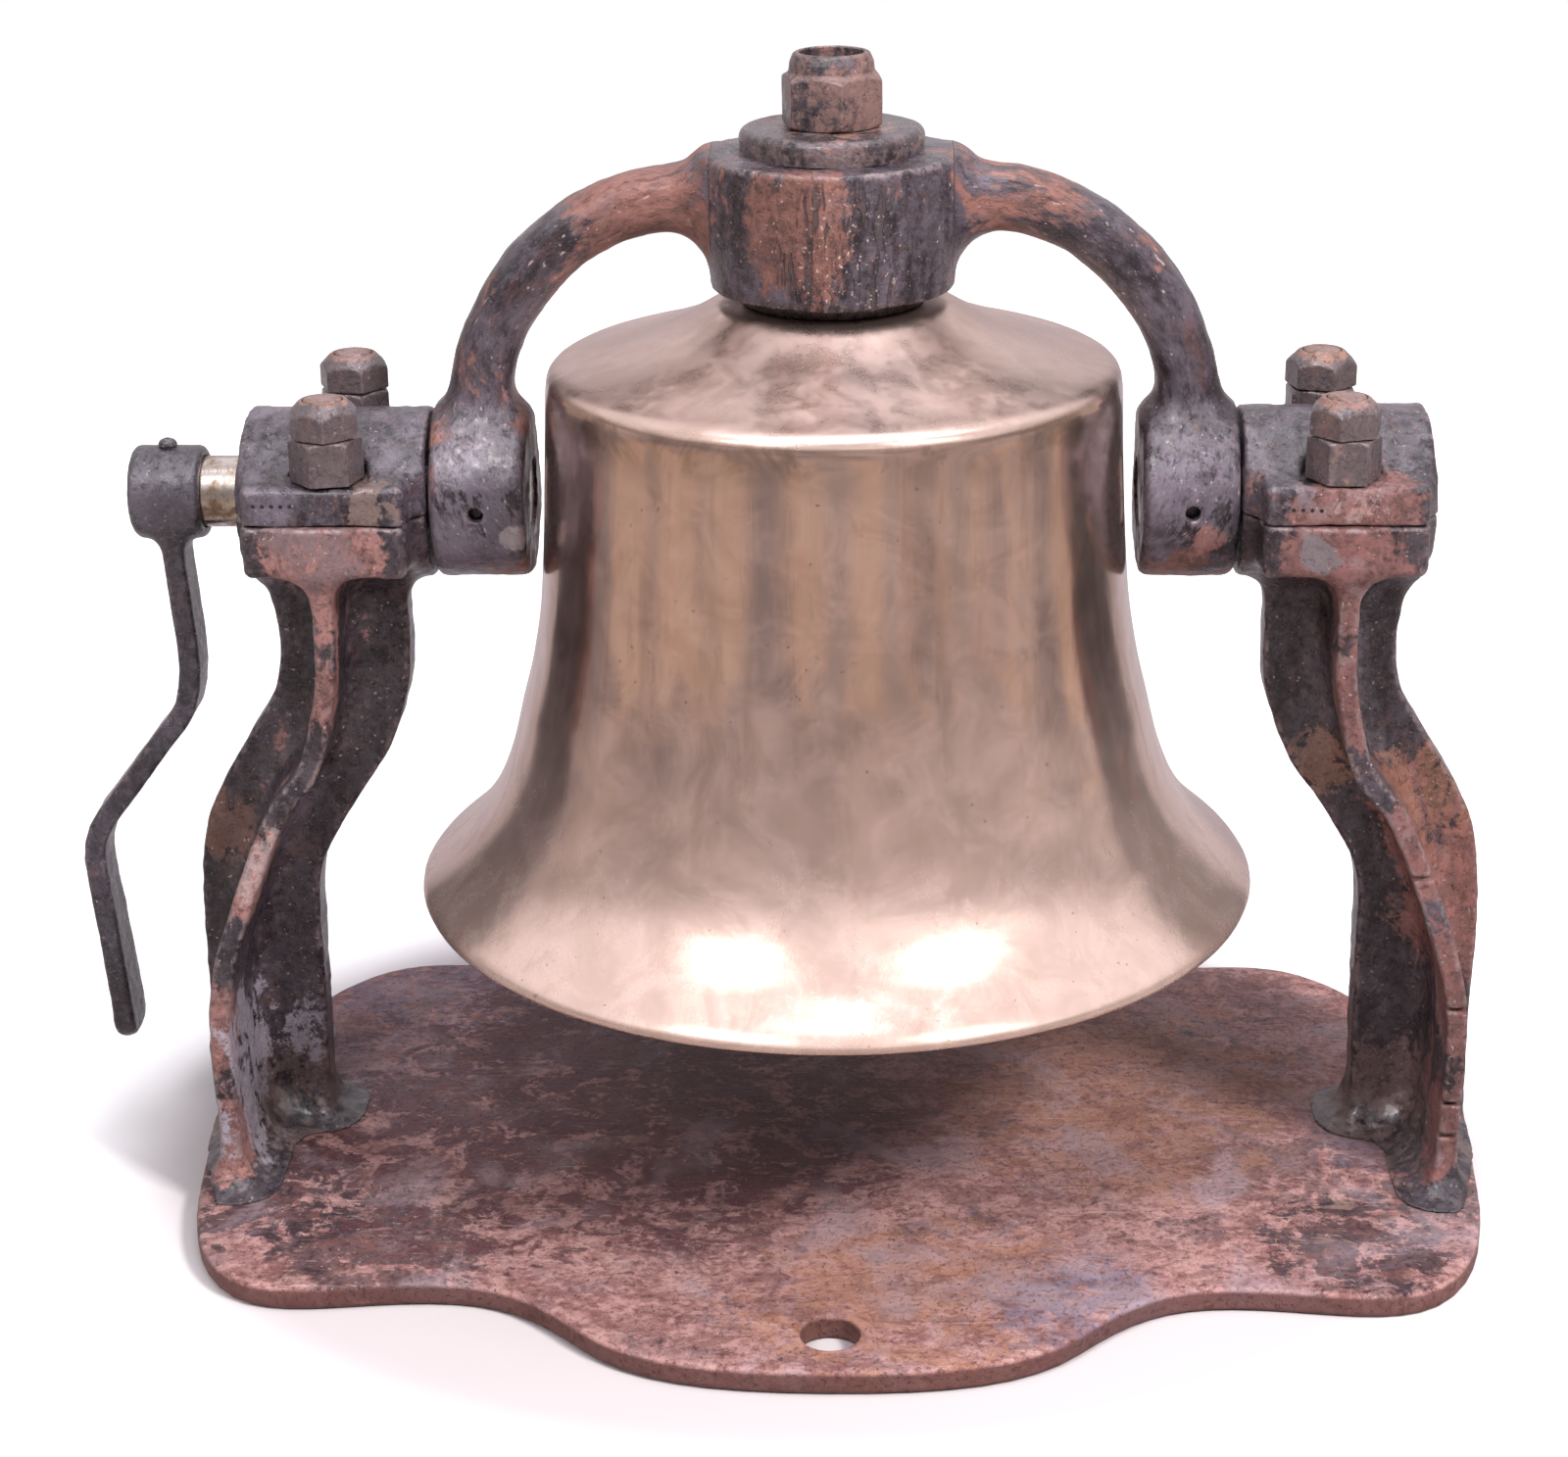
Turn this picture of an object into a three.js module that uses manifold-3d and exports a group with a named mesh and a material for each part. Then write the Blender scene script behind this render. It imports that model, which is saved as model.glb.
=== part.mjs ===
// Bronze bell hung from an arched yoke that turns in two split bearings on a lobed iron base.
// Millimetres, +Z up. X runs along the trunnion axis, the origin is under the middle of the base.
import * as THREE from 'three';
import { mergeVertices } from 'three/addons/utils/BufferGeometryUtils.js';
import Module from 'manifold-3d';

const wasm = await Module();
wasm.setup();

// Clearance between touching pieces
const GAP = 0.3;

// Base plate
const BASE_T = 12.5;
const BASE_EDGE = 1.5;
const BOLT_HOLE_R = 14.5;
const BOLT_HOLE_Y = 222;

// Trunnion line and split bearings
const AXIS_Z = 363.5;
const SHAFT_R = 18;
const BRASS_R = 26.9;
const HOUSING_R = 42.5;
const HOUSING_X0 = 200.3;
const HOUSING_X1 = 293;
const FLANGE_X0 = 208;
const FLANGE_X1 = 288;
const FLANGE_Y = 64;
const CAP_FLANGE_Y = 62;
const FLANGE_BOTTOM = 336;
const CAP_FLANGE_TOP = 383;
const SPLIT = 0.2;

// Cap studs and nuts
const STUD_X = 246.7;
const STUD_Y = 45.7;
const STUD_R = 9.525;
const STUD_HOLE_R = STUD_R + GAP;
const STUD_BOTTOM = 340;
const STUD_TOP = 426;
const NUT_AF = 31.75;
const NUT_H = 22.1;
const LOCK_NUT_H = 18.6;
const SPOTFACE_R = 19.2;

// Uprights
const WEB_HALF = 11;
const RIB_T = 10.5;
const FILLET_PAD = 24;
const FILLET_PAD_Y = 17;
const UPRIGHT_FOOT = BASE_T + GAP;

// Yoke
const HUB_BOTTOM = 468.4;
const HUB_TOP = 533.7;
const HUB_R0 = 59.6;
const HUB_R1 = 61.8;
const ARM_CX = 62;
const ARM_CZ = 400;
const ARM_R = 114.5;
const ARM_A = 15.3;
const ARM_B = 17;
const EAR_X0 = 152;
const EAR_X1 = 199.7;
const EAR_MID = 175.8;
const CROSS_PIN_R = 3.6;
const CROSS_PIN_HALF = 36;

// Hanger
const BOLT_R = 14.29;
const BOLT_HOLE = BOLT_R + GAP;
const BOLT_TOP = 577;
const HANGER_AF = 44.45;
const WASHER_R = 45;
const WASHER_TOP = 546;
const HANGER_NUT_TOP = 572;
const COLLAR_TOP = 581.5;
const SPACER_R = 45;
const CROWN_TOP = 461;
const CROWN_UNDER = 446;
const INNER_WASHER_T = 8;
const CLEVIS_TOP = CROWN_UNDER - INNER_WASHER_T - 2 * GAP;
const CLEVIS_BOTTOM = 392;
const CLEVIS_X = 20;
const CLEVIS_Y = 17;
const SLOT_HALF = 8.3;
const SLOT_TOP = 426;

// Clapper
const PIVOT_Z = 406;
const CLAPPER_PIN_R = 6;
const EYE_R = 15;
const EYE_HALF = 7;
const BALL_Z = 150;
const BALL_R = 32;
const TAIL_Z = 108;

// Crank
const CRANK_X0 = 317;
const CRANK_X1 = 353;
const CRANK_HUB_R = 23.5;
const CRANK_T = 11;
const CRANK_HALF = 12.5;
const CRANK_TIP_HALF = 15;
const SET_PIN_R = 4;

const paint = (color, roughness, metalness) => ({ color, roughness, metalness });
const IRON = paint(0x4a3f40, 0.62, 0.55);
const RUST = paint(0x7a4a38, 0.8, 0.3);
const BRONZE = paint(0xb08d63, 0.28, 1.0);
const BRASS = paint(0xb59a4e, 0.4, 1.0);
const STEEL = paint(0x8f8780, 0.35, 1.0);

// Solid helpers -----------------------------------------------------------------------------

function solid(geometry) {
  const bare = geometry.clone();
  bare.deleteAttribute('normal');
  bare.deleteAttribute('uv');
  const welded = mergeVertices(bare, 1e-4);
  const vertProperties = new Float32Array(welded.attributes.position.array);
  const triVerts = new Uint32Array(welded.index.array);
  return new wasm.Manifold(new wasm.Mesh({ numProp: 3, vertProperties, triVerts }));
}

function union(...geometries) {
  return geometries.map(solid).reduce((sum, item) => sum.add(item));
}

function cut(body, ...geometries) {
  return geometries.map(solid).reduce((rest, item) => rest.subtract(item), body);
}

function toGeometry(body) {
  const mesh = body.getMesh();
  const positions = new Float32Array(mesh.numVert * 3);
  for (let i = 0; i < mesh.numVert; i += 1) {
    for (let k = 0; k < 3; k += 1) {
      positions[3 * i + k] = mesh.vertProperties[mesh.numProp * i + k];
    }
  }
  const geometry = new THREE.BufferGeometry();
  geometry.setAttribute('position', new THREE.BufferAttribute(positions, 3));
  geometry.setIndex(new THREE.BufferAttribute(new Uint32Array(mesh.triVerts), 1));
  geometry.computeVertexNormals();
  return geometry;
}

// The same geometry on the other side of the plane x = 0, with its faces still outward
function mirrored(geometry) {
  const flipped = geometry.clone();
  flipped.scale(-1, 1, 1);
  const index = flipped.index.array;
  for (let i = 0; i < index.length; i += 3) {
    [index[i], index[i + 1]] = [index[i + 1], index[i]];
  }
  flipped.computeVertexNormals();
  return flipped;
}

function block(x0, x1, y0, y1, z0, z1) {
  const box = new THREE.BoxGeometry(x1 - x0, y1 - y0, z1 - z0);
  return box.translate((x0 + x1) / 2, (y0 + y1) / 2, (z0 + z1) / 2);
}

// A frustum with a rectangle below and another above, given as [x0, x1, halfY, z]
function tapered(low, high) {
  const box = new THREE.BoxGeometry(1, 1, 1);
  const at = box.attributes.position;
  for (let i = 0; i < at.count; i += 1) {
    const [x0, x1, halfY, z] = at.getZ(i) > 0 ? high : low;
    at.setXYZ(i, at.getX(i) > 0 ? x1 : x0, at.getY(i) > 0 ? halfY : -halfY, z);
  }
  return box;
}

function rodZ(radius, z0, z1, x = 0, y = 0, segments = 24) {
  const rod = new THREE.CylinderGeometry(radius, radius, z1 - z0, segments);
  return rod.rotateX(Math.PI / 2).translate(x, y, (z0 + z1) / 2);
}

function rodX(radius, x0, x1, y = 0, z = AXIS_Z, segments = 28) {
  const rod = new THREE.CylinderGeometry(radius, radius, x1 - x0, segments);
  return rod.rotateZ(-Math.PI / 2).translate((x0 + x1) / 2, y, z);
}

function rodY(radius, y0, y1, x, z, segments = 16) {
  const rod = new THREE.CylinderGeometry(radius, radius, y1 - y0, segments);
  return rod.translate(x, (y0 + y1) / 2, z);
}

// A body of revolution about Z from [radius, z] pairs, open ends on the axis or closed on itself
function turned(profile, segments = 32) {
  const points = profile.map(([r, z]) => new THREE.Vector2(r, z));
  return new THREE.LatheGeometry(points, segments).rotateX(Math.PI / 2);
}

// A round bar along X with rounded ends
function roundedRodX(radius, x0, x1, edge, segments = 28) {
  const slope = edge * 0.3;
  const profile = [
    [0, x0],
    [radius - edge, x0],
    [radius - slope, x0 + slope],
    [radius, x0 + edge],
    [radius, x1 - edge],
    [radius - slope, x1 - slope],
    [radius - edge, x1],
    [0, x1],
  ];
  return turned(profile, segments).rotateY(Math.PI / 2).translate(0, 0, AXIS_Z);
}

function shapeOf(points) {
  return new THREE.Shape(points.map(([u, v]) => new THREE.Vector2(u, v)));
}

// An outline in the XZ plane, carried along Y from y0 to y1
function alongY(shape, y0, y1, bevel = 0) {
  const options = { depth: y1 - y0 - 2 * bevel, curveSegments: 6, bevelEnabled: bevel > 0 };
  Object.assign(options, { bevelSize: bevel, bevelOffset: -bevel, bevelThickness: bevel });
  options.bevelSegments = 1;
  const geometry = new THREE.ExtrudeGeometry(shape, options);
  return geometry.rotateX(Math.PI / 2).translate(0, y1 - bevel, 0);
}

// An outline in the YZ plane, carried along X from x0 to x1
function alongX(shape, x0, x1) {
  const geometry = new THREE.ExtrudeGeometry(shape, { depth: x1 - x0, bevelEnabled: false });
  const yAxis = new THREE.Vector3(0, 1, 0);
  const zAxis = new THREE.Vector3(0, 0, 1);
  const xAxis = new THREE.Vector3(1, 0, 0);
  geometry.applyMatrix4(new THREE.Matrix4().makeBasis(yAxis, zAxis, xAxis));
  return geometry.translate(x0, 0, 0);
}

function spline(points, count) {
  const curve = new THREE.SplineCurve(points.map(([u, v]) => new THREE.Vector2(u, v)));
  return curve.getSpacedPoints(count);
}

// A strip of even width along a smooth line
function stripOutline(points, width, count) {
  const line = spline(points, count);
  const left = [];
  const right = [];
  line.forEach((point, i) => {
    const before = line[Math.max(i - 1, 0)];
    const after = line[Math.min(i + 1, count)];
    const normal = after.clone().sub(before).normalize();
    const offset = new THREE.Vector2(-normal.y, normal.x).multiplyScalar(width / 2);
    left.push(point.clone().add(offset));
    right.push(point.clone().sub(offset));
  });
  return new THREE.Shape([...left, ...right.reverse()]);
}

function hexPrism(flats, z0, z1, x, y, turn) {
  const prism = new THREE.CylinderGeometry(flats / Math.sqrt(3), flats / Math.sqrt(3), z1 - z0, 6);
  prism.rotateX(Math.PI / 2);
  prism.rotateZ(THREE.MathUtils.degToRad(turn));
  return prism.translate(x, y, (z0 + z1) / 2);
}

// Rings [x, z, lean, a, b]: lean is the direction of travel in the XZ plane, a the half
// thickness in that plane and b the half depth along Y
function loft(rings, segments = 16) {
  const positions = [];
  const index = [];
  rings.forEach(([x, z, lean, a, b]) => {
    for (let i = 0; i < segments; i += 1) {
      const turn = (2 * Math.PI * i) / segments;
      const out = a * Math.cos(turn);
      positions.push(x - out * Math.sin(lean), -b * Math.sin(turn), z + out * Math.cos(lean));
    }
  });
  for (let k = 0; k + 1 < rings.length; k += 1) {
    for (let i = 0; i < segments; i += 1) {
      const next = (i + 1) % segments;
      const [p, q] = [k * segments + i, k * segments + next];
      index.push(p, q, q + segments, p, q + segments, p + segments);
    }
  }
  [0, rings.length - 1].forEach((k, end) => {
    const [x, z] = rings[k];
    const centre = positions.length / 3;
    positions.push(x, 0, z);
    for (let i = 0; i < segments; i += 1) {
      const pair = [k * segments + i, k * segments + ((i + 1) % segments)];
      index.push(centre, pair[end ? 0 : 1], pair[end ? 1 : 0]);
    }
  });
  const geometry = new THREE.BufferGeometry();
  geometry.setAttribute('position', new THREE.Float32BufferAttribute(positions, 3));
  geometry.setIndex(index);
  return geometry;
}

// Base --------------------------------------------------------------------------------------

// The lobed outline's right half, in two quarters that run from the lobe round to the end.
// The back corner is rounder than the front one.
const BASE_FRONT = [
  [[0, -256], [58, -256], [95, -248], [120, -221]],
  [[120, -221], [146, -193], [163, -180.5], [197, -180.5]],
  [[197, -180.5], [232, -180.5], [262, -192], [287, -182]],
  [[287, -182], [316, -170], [328, -125], [331.5, -80]],
  [[331.5, -80], [334, -52], [337, -28], [337, 0]],
];
const BASE_BACK = [
  [[0, 256], [58, 256], [95, 248], [120, 221]],
  [[120, 221], [146, 193], [163, 180.5], [197, 180.5]],
  [[197, 180.5], [226, 180.5], [244, 184], [262, 176]],
  [[262, 176], [288, 164], [304, 136], [317, 98]],
  [[317, 98], [328, 66], [337, 30], [337, 0]],
];
const BASE_END = new THREE.Vector2(337, 0);
const BASE_LOBE = new THREE.Vector2(0, 256);

function quarter(curves) {
  const vectors = (points) => points.map(([x, y]) => new THREE.Vector2(x, y));
  return curves.flatMap((points) => {
    const curve = new THREE.CubicBezierCurve(...vectors(points));
    return curve.getPoints(5).slice(0, 5);
  });
}

function baseOutline() {
  const front = quarter(BASE_FRONT);
  const back = quarter(BASE_BACK).slice(1).reverse();
  const right = [...front, BASE_END, ...back];
  const left = right.slice(1).reverse().map((point) => new THREE.Vector2(-point.x, point.y));
  return new THREE.Shape([...right, BASE_LOBE, ...left]);
}

function basePlate() {
  const options = { depth: BASE_T - 2 * BASE_EDGE, bevelEnabled: true, bevelSegments: 1 };
  Object.assign(options, { bevelSize: BASE_EDGE, bevelOffset: -BASE_EDGE });
  options.bevelThickness = BASE_EDGE;
  const plate = new THREE.ExtrudeGeometry(baseOutline(), options).translate(0, 0, BASE_EDGE);
  const front = rodZ(BOLT_HOLE_R, -1, BASE_T + 1, 0, -BOLT_HOLE_Y);
  const back = rodZ(BOLT_HOLE_R, -1, BASE_T + 1, 0, BOLT_HOLE_Y);
  return cut(solid(plate), front, back);
}

// Uprights and bearings, drawn for the right-hand side ----------------------------------------

const WEB_INNER = [
  [276, UPRIGHT_FOOT], [274, 60], [273, 120], [270.5, 160], [253, 193.5],
  [232, 225], [220, 258], [217, 285], [218, 312], [222, 340],
];
const WEB_OUTER = [
  [282, 340], [286, 312], [284, 283], [289.5, 258], [305, 232],
  [325, 197], [333, 167], [335.5, 120], [335, 60], [334, UPRIGHT_FOOT],
];
const RIB_LINE = [
  [252.5, 340], [252.5, 300], [254.5, 272], [264, 235], [283, 208],
  [301, 163], [312, 126], [315, 95], [313.5, 50], [312.5, UPRIGHT_FOOT],
];
const RIB_EDGE = [[57, 340], [57, 262], [66, 204], [75, 165], [81, 120], [88, UPRIGHT_FOOT]];

function web() {
  const inner = spline(WEB_INNER, 14);
  const outer = spline(WEB_OUTER, 14);
  return alongY(new THREE.Shape([...inner, ...outer]), -WEB_HALF, WEB_HALF, 1.5);
}

function ribs() {
  const front = spline(RIB_EDGE.map(([y, z]) => [-y, z]), 9);
  const back = spline(RIB_EDGE, 9).reverse();
  const side = alongX(new THREE.Shape([...front, ...back]), 240, 330);
  const strip = alongY(stripOutline(RIB_LINE, RIB_T, 15), -95, 95);
  return solid(strip).intersect(solid(side));
}

function housing(above) {
  const low = above ? AXIS_Z + SPLIT : 300;
  const high = above ? 420 : AXIS_Z - SPLIT;
  const barrel = solid(roundedRodX(HOUSING_R, HOUSING_X0, HOUSING_X1, 2));
  return barrel.intersect(solid(block(190, 300, -60, 60, low, high)));
}

function flange(halfY, z0, z1) {
  const outline = shapeOf([[FLANGE_X0, z0], [FLANGE_X1, z0], [FLANGE_X1, z1], [FLANGE_X0, z1]]);
  return alongY(outline, -halfY, halfY, 2.5);
}

function studHoles(radius, z0, z1) {
  return [-STUD_Y, STUD_Y].map((y) => rodZ(radius, z0, z1, STUD_X, y, 20));
}

function bearingBore() {
  return rodX(BRASS_R + GAP, 190, 300);
}

function upright() {
  const footWeb = tapered([264, 336, 23, UPRIGHT_FOOT], [274, 335, WEB_HALF, 34]);
  const footRib = tapered([303, 322, 91, UPRIGHT_FOOT], [308, 317.5, 86, 24]);
  const pad = stripOutline(RIB_LINE, FILLET_PAD, 11);
  const castPad = alongY(pad, -FILLET_PAD_Y, FILLET_PAD_Y, 5);
  const seat = flange(FLANGE_Y, FLANGE_BOTTOM, AXIS_Z - SPLIT);
  const cast = union(web(), footWeb, footRib, castPad, seat).add(ribs()).add(housing(false));
  const body = cast.intersect(solid(block(190, 345, -120, 120, UPRIGHT_FOOT, AXIS_Z)));
  return cut(body, bearingBore(), ...studHoles(STUD_HOLE_R, STUD_BOTTOM - 1, AXIS_Z + 1));
}

function bearingCap() {
  const body = solid(flange(CAP_FLANGE_Y, AXIS_Z + SPLIT, CAP_FLANGE_TOP)).add(housing(true));
  const holes = studHoles(STUD_HOLE_R, AXIS_Z - 1, CAP_FLANGE_TOP + 1);
  const spotfaces = studHoles(SPOTFACE_R, CAP_FLANGE_TOP, CAP_FLANGE_TOP + 30);
  return cut(body, bearingBore(), ...holes, ...spotfaces);
}

function brass(above) {
  const low = above ? AXIS_Z + SPLIT : 300;
  const high = above ? 420 : AXIS_Z - SPLIT;
  const sleeve = solid(rodX(BRASS_R, HOUSING_X0 + 1, HOUSING_X1 - 1));
  const half = sleeve.intersect(solid(block(190, 300, -60, 60, low, high)));
  return cut(half, rodX(SHAFT_R + GAP, 190, 300));
}

function capStud(y) {
  const profile = [
    [0, STUD_BOTTOM], [STUD_R, STUD_BOTTOM], [STUD_R, STUD_TOP - 1.5],
    [STUD_R - 1.5, STUD_TOP], [0, STUD_TOP],
  ];
  return solid(turned(profile, 20).translate(STUD_X, y, 0));
}

// A hexagon nut with its top corners turned off, round a stud at (x, y)
function nut(flats, bore, z0, z1, x, y, turn) {
  const corner = flats / Math.sqrt(3);
  const drop = corner - flats / 2;
  const profile = [[0, z0], [corner, z0], [corner, z1 - drop], [flats / 2 - 0.5, z1], [0, z1]];
  const hex = solid(hexPrism(flats, z0, z1, x, y, turn));
  const chamfered = hex.intersect(solid(turned(profile, 18).translate(x, y, 0)));
  return cut(chamfered, rodZ(bore, z0 - 1, z1 + 1, x, y, 20));
}

// Yoke ----------------------------------------------------------------------------------------

function armRings() {
  const bend = (degrees, a = ARM_A, b = ARM_B) => {
    const turn = THREE.MathUtils.degToRad(degrees);
    const x = ARM_CX + ARM_R * Math.cos(turn);
    return [x, ARM_CZ + ARM_R * Math.sin(turn), turn - Math.PI / 2, a, b];
  };
  const down = -Math.PI / 2;
  const middle = ARM_CX + ARM_R;
  return [
    [38, 508, 0, 24, 27],
    [57, 507, 0, 21.5, 25],
    [64, 509, 0, 19.2, 22],
    [76, 510.8, -0.08, 17.2, 19],
    [90, 510, -0.22, 16, 17.6],
    ...[64, 50, 37, 25, 14].map((degrees) => bend(degrees)),
    bend(5, 16, 18.5),
    [middle, 396, down, 18.5, 23],
    [middle - 0.5, 384, down, 22, 29],
    [middle - 0.7, 372, down, 22.8, 32],
  ];
}

function yoke() {
  const hub = turned([
    [0, HUB_BOTTOM], [HUB_R0 - 2, HUB_BOTTOM], [HUB_R0, HUB_BOTTOM + 2],
    [HUB_R1, HUB_TOP - 3], [HUB_R1 - 3, HUB_TOP], [0, HUB_TOP],
  ]);
  const arm = loft(armRings());
  const ear = roundedRodX(HOUSING_R, EAR_X0, EAR_X1, 4);
  const left = mirrored(mergeVertices(ear));
  const body = union(hub, arm, mirrored(arm), ear, left);
  const pinHoles = [-EAR_MID, EAR_MID].map((x) => rodY(CROSS_PIN_R + GAP, -60, 60, x, AXIS_Z));
  const bores = [
    rodX(SHAFT_R + GAP, EAR_X0 - 1, EAR_X1 + 1),
    rodX(SHAFT_R + GAP, -EAR_X1 - 1, -EAR_X0 + 1),
  ];
  return cut(body, rodZ(BOLT_HOLE, HUB_BOTTOM - 1, HUB_TOP + 1), ...bores, ...pinHoles);
}

function trunnionRight() {
  const pin = solid(roundedRodX(SHAFT_R, EAR_X0 + 1, HOUSING_X1 - 1, 1.2));
  return cut(pin, rodY(CROSS_PIN_R + GAP, -60, 60, EAR_MID, AXIS_Z));
}

function trunnionLeft() {
  const shaft = solid(roundedRodX(SHAFT_R, -CRANK_X1 + 1, -EAR_X0 - 1, 1.2));
  const socket = rodZ(SET_PIN_R + GAP, AXIS_Z + 7, AXIS_Z + 40, -(CRANK_X0 + CRANK_X1) / 2);
  return cut(shaft, rodY(CROSS_PIN_R + GAP, -60, 60, -EAR_MID, AXIS_Z), socket);
}

// Bell and hanger -------------------------------------------------------------------------------

const BELL_OUTER = [
  [56, CROWN_TOP], [61, 459.2], [70, 454], [82, 448.2], [96, 443.2], [110, 438.5],
  [124, 434], [134, 431.2], [139, 429.2], [141.8, 425.5], [142.9, 415], [144.2, 385], [146.2, 345],
  [149, 310], [153.9, 280], [160.2, 255], [166, 232], [173.4, 212], [182, 196],
  [192.8, 182.3], [204, 171.5], [212.5, 164], [216, 159.5],
];
const BELL_INNER = [
  [215.4, 156.5], [211.5, 156], [203, 163], [190, 173.5], [176, 187], [163, 205],
  [154, 226], [147, 252], [141.5, 282], [136.5, 315], [133.5, 350], [132, 385],
  [130.5, 407], [123, 417.5], [108, 425.5], [84, 434.5], [64, 442.5], [46, CROWN_UNDER],
];

function bell() {
  const bore = [[BOLT_HOLE, CROWN_UNDER], [BOLT_HOLE, CROWN_TOP]];
  const profile = [...BELL_OUTER, ...BELL_INNER, ...bore, BELL_OUTER[0]];
  return solid(turned(profile.reverse(), 36));
}

function ring(inner, outer, z0, z1, edge = 0.8) {
  const profile = [
    [inner, z0], [outer, z0], [outer, z1 - edge], [outer - edge, z1], [inner, z1], [inner, z0],
  ];
  return solid(turned(profile, 28));
}

function topWasher() {
  const z0 = HUB_TOP + GAP;
  const profile = [
    [BOLT_HOLE, z0], [WASHER_R, z0], [WASHER_R, WASHER_TOP - 5.5], [WASHER_R - 1.5, WASHER_TOP - 2],
    [WASHER_R - 5, WASHER_TOP], [BOLT_HOLE, WASHER_TOP], [BOLT_HOLE, z0],
  ];
  return solid(turned(profile));
}

function hangerNut() {
  const z0 = WASHER_TOP + GAP;
  const hex = nut(HANGER_AF, BOLT_HOLE, z0, HANGER_NUT_TOP, 0, 0, 12);
  const collar = turned([
    [BOLT_HOLE, HANGER_NUT_TOP - 3], [21.2, HANGER_NUT_TOP - 3], [20.9, HANGER_NUT_TOP + 4],
    [19, COLLAR_TOP], [16.2, COLLAR_TOP], [15.6, COLLAR_TOP - 3], [BOLT_HOLE, COLLAR_TOP - 5],
    [BOLT_HOLE, HANGER_NUT_TOP - 3],
  ]);
  return hex.add(solid(collar));
}

function hangerBolt() {
  const clevis = block(-CLEVIS_X, CLEVIS_X, -CLEVIS_Y, CLEVIS_Y, CLEVIS_BOTTOM, CLEVIS_TOP);
  const shank = turned([
    [0, CLEVIS_TOP - 5], [BOLT_R, CLEVIS_TOP - 5], [BOLT_R, BOLT_TOP - 2],
    [BOLT_R - 2, BOLT_TOP], [0, BOLT_TOP],
  ], 24);
  const slot = block(-SLOT_HALF, SLOT_HALF, -30, 30, CLEVIS_BOTTOM - 5, SLOT_TOP);
  const hole = rodX(CLAPPER_PIN_R + GAP, -40, 40, 0, PIVOT_Z, 24);
  return cut(union(clevis, shank), slot, hole);
}

// Clapper ---------------------------------------------------------------------------------------

const COTTER_X = -24.5;
const COTTER_R = 1.6;

function clapperPin() {
  const shank = rodX(CLAPPER_PIN_R, -29, 24, 0, PIVOT_Z, 24);
  const head = rodX(9, CLEVIS_X + GAP, CLEVIS_X + 6, 0, PIVOT_Z, 24);
  return cut(union(shank, head), rodZ(COTTER_R + GAP, PIVOT_Z - 20, PIVOT_Z + 20, COTTER_X, 0, 10));
}

function clapperCotter() {
  const leg = rodZ(COTTER_R, PIVOT_Z - 11, PIVOT_Z + 9, COTTER_X, 0, 10);
  const eye = new THREE.SphereGeometry(2.8, 10, 6).translate(COTTER_X, 0, PIVOT_Z + 9.6);
  return union(leg, eye);
}

function clapper() {
  const eye = rodX(EYE_R, -EYE_HALF, EYE_HALF, 0, PIVOT_Z, 28);
  const profile = [[0, PIVOT_Z - 9], [6.5, PIVOT_Z - 9], [6.5, PIVOT_Z - 24], [8.5, 230]];
  const neck = Math.acos(9.5 / BALL_R);
  for (let k = 0; k <= 10; k += 1) {
    const turn = neck - (2 * neck * k) / 10;
    profile.push([BALL_R * Math.cos(turn), BALL_Z + BALL_R * Math.sin(turn)]);
  }
  profile.push([8.5, TAIL_Z + 4], [5.5, TAIL_Z], [0, TAIL_Z]);
  const stem = turned(profile.reverse(), 20);
  return cut(union(eye, stem), rodX(CLAPPER_PIN_R + GAP, -20, 20, 0, PIVOT_Z, 24));
}

// Crank -----------------------------------------------------------------------------------------

const CRANK_LINE = [
  [-335, AXIS_Z - 12], [-334.5, 330], [-332, 292], [-331.5, 268], [-337, 247], [-353, 226],
  [-371, 202], [-385, 184], [-390, 168], [-389, 147], [-386, 115], [-383.2, 80], [-382.5, 56.5],
];

function crankLever() {
  const hub = roundedRodX(CRANK_HUB_R, -CRANK_X1, -CRANK_X0, 3);
  const strip = alongY(stripOutline(CRANK_LINE, CRANK_T, 24), -CRANK_TIP_HALF, CRANK_TIP_HALF, 1.5);
  const flank = shapeOf([[-CRANK_HALF, 360], [-CRANK_HALF, 150], [-CRANK_TIP_HALF, 72]]);
  flank.absarc(0, 72, CRANK_TIP_HALF, Math.PI, 2 * Math.PI, false);
  flank.lineTo(CRANK_HALF, 150);
  flank.lineTo(CRANK_HALF, 360);
  const bar = solid(strip).intersect(solid(alongX(flank, -420, -300)));
  const socket = rodZ(SET_PIN_R + GAP, AXIS_Z, AXIS_Z + 40, -(CRANK_X0 + CRANK_X1) / 2);
  const bore = rodX(SHAFT_R + GAP, -CRANK_X1 - 1, -CRANK_X0 + 1);
  return cut(solid(hub).add(bar), bore, socket);
}

function crankSetPin() {
  const top = AXIS_Z + CRANK_HUB_R;
  const profile = [
    [0, AXIS_Z + 8], [SET_PIN_R, AXIS_Z + 8], [SET_PIN_R, top + 3], [SET_PIN_R - 1.4, top + 4.5],
    [0, top + 4.8],
  ];
  return solid(turned(profile, 20).translate(-(CRANK_X0 + CRANK_X1) / 2, 0, 0));
}

// Assembly --------------------------------------------------------------------------------------

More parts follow.
